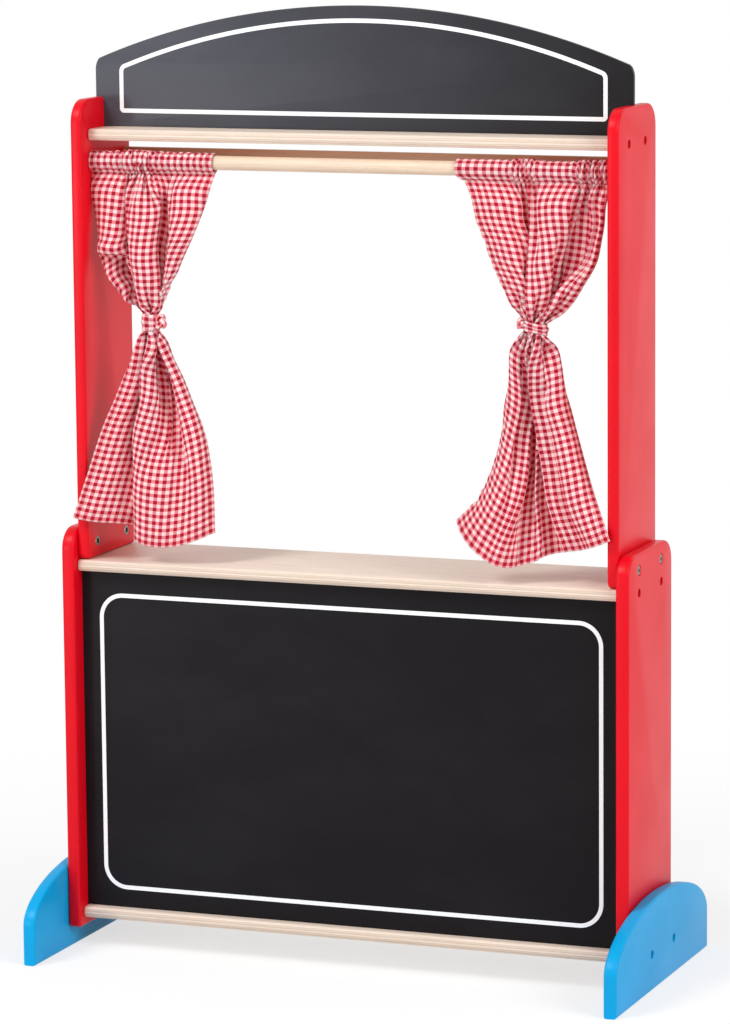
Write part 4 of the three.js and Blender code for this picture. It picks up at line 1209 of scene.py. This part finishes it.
class THEATER_OT_curtains(bpy.types.Operator):
    """Hangs the two gingham curtains on the rod and gathers them at their ties"""
    bl_idname = "theater.curtains"
    bl_label = "Curtains"

    def execute(self, context):
        settings = context.scene.theater_cloth
        low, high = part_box("curtain_rod")
        rod_depth, rod_height = (low.y + high.y) / 2 / MM, (low.z + high.z) / 2 / MM
        material = gingham("gingham", settings)
        for side in SIDES:
            tie = Tie(side, rod_depth)
            laid = laid_out(side, rod_height, tie)
            lengths = thread_steps(laid)
            post_low, post_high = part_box("upper_post_" + side)
            wall = min(abs(post_low.x), abs(post_high.x)) / MM - 0.5, rod_depth - post_low.y / MM + 0.5
            places = settled(laid, lengths, rod_height, tie, wall)
            fallen = np.concatenate([[0], np.cumsum(lengths.mean(axis=1))])
            cut = np.stack(np.broadcast_arrays(
                np.linspace(0, CUT_WIDTH, COLUMNS + 1)[None], fallen[-1] - fallen[:, None]), axis=2)
            piece = self.sheet("gingham_curtain_" + side, places, cut, rod_depth)
            if tie.outward > 0:
                piece.data.flip_normals()
            band = self.closed_sheet("gingham_tie_" + side, *tie_band(tie), rod_depth)
            for item in (piece, band):
                apply_modifier(item, "SOLIDIFY", thickness=settings.thickness, offset=0)
            knot = self.closed_sheet("knot", *tie_knot(tie), rod_depth)
            activate(band)
            knot.select_set(True)
            bpy.ops.object.join()
            for item, node in ((piece, "curtain_" + side), (band, "tie_" + side)):
                wear_material(item, material)
                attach(item, side + "_curtain")
                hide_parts(node)
        return {"FINISHED"}

    def sheet(self, name, places, cut, rod_depth):
        points = places * MM
        points[:, :, 1] = rod_depth * MM - points[:, :, 1]
        return grid_mesh(name, points, cut * MM)

    def closed_sheet(self, name, places, cut, rod_depth):
        """A band or a knot, closed where its two ends meet"""
        piece = self.sheet(name, places, cut, rod_depth)
        edit(piece)
        take_all()
        bpy.ops.mesh.remove_doubles(threshold=0.00001)
        close_outward()
        return piece


class THEATER_PT_sidebar(bpy.types.Panel):
    """Lists the steps that dress the stand"""
    bl_idname = "THEATER_PT_sidebar"
    bl_label = "Puppet Theater"
    bl_space_type = "VIEW_3D"
    bl_region_type = "UI"
    bl_category = "Puppet Theater"

    def draw(self, context):
        for operator in OPERATORS:
            self.layout.operator(operator.bl_idname)


SETTINGS = {
    "theater_paint": PaintSettings,
    "theater_wood": WoodSettings,
    "theater_chalkboard": ChalkboardSettings,
    "theater_cloth": ClothSettings,
    "theater_stage": StageSettings,
}
OPERATORS = (
    THEATER_OT_stage,
    THEATER_OT_uprights,
    THEATER_OT_wood,
    THEATER_OT_chalkboards,
    THEATER_OT_fasteners,
    THEATER_OT_curtains,
)


def register():
    for item in (*SETTINGS.values(), *OPERATORS, THEATER_PT_sidebar):
        bpy.utils.register_class(item)
    for name, group in SETTINGS.items():
        setattr(bpy.types.Scene, name, PointerProperty(type=group))


def unregister():
    for name in SETTINGS:
        delattr(bpy.types.Scene, name)
    for item in (THEATER_PT_sidebar, *reversed(OPERATORS), *SETTINGS.values()):
        bpy.utils.unregister_class(item)


def main():
    register()
    for operator in OPERATORS:
        group, name = operator.bl_idname.split(".")
        getattr(getattr(bpy.ops, group), name)()


if __name__ == "__main__":
    main()
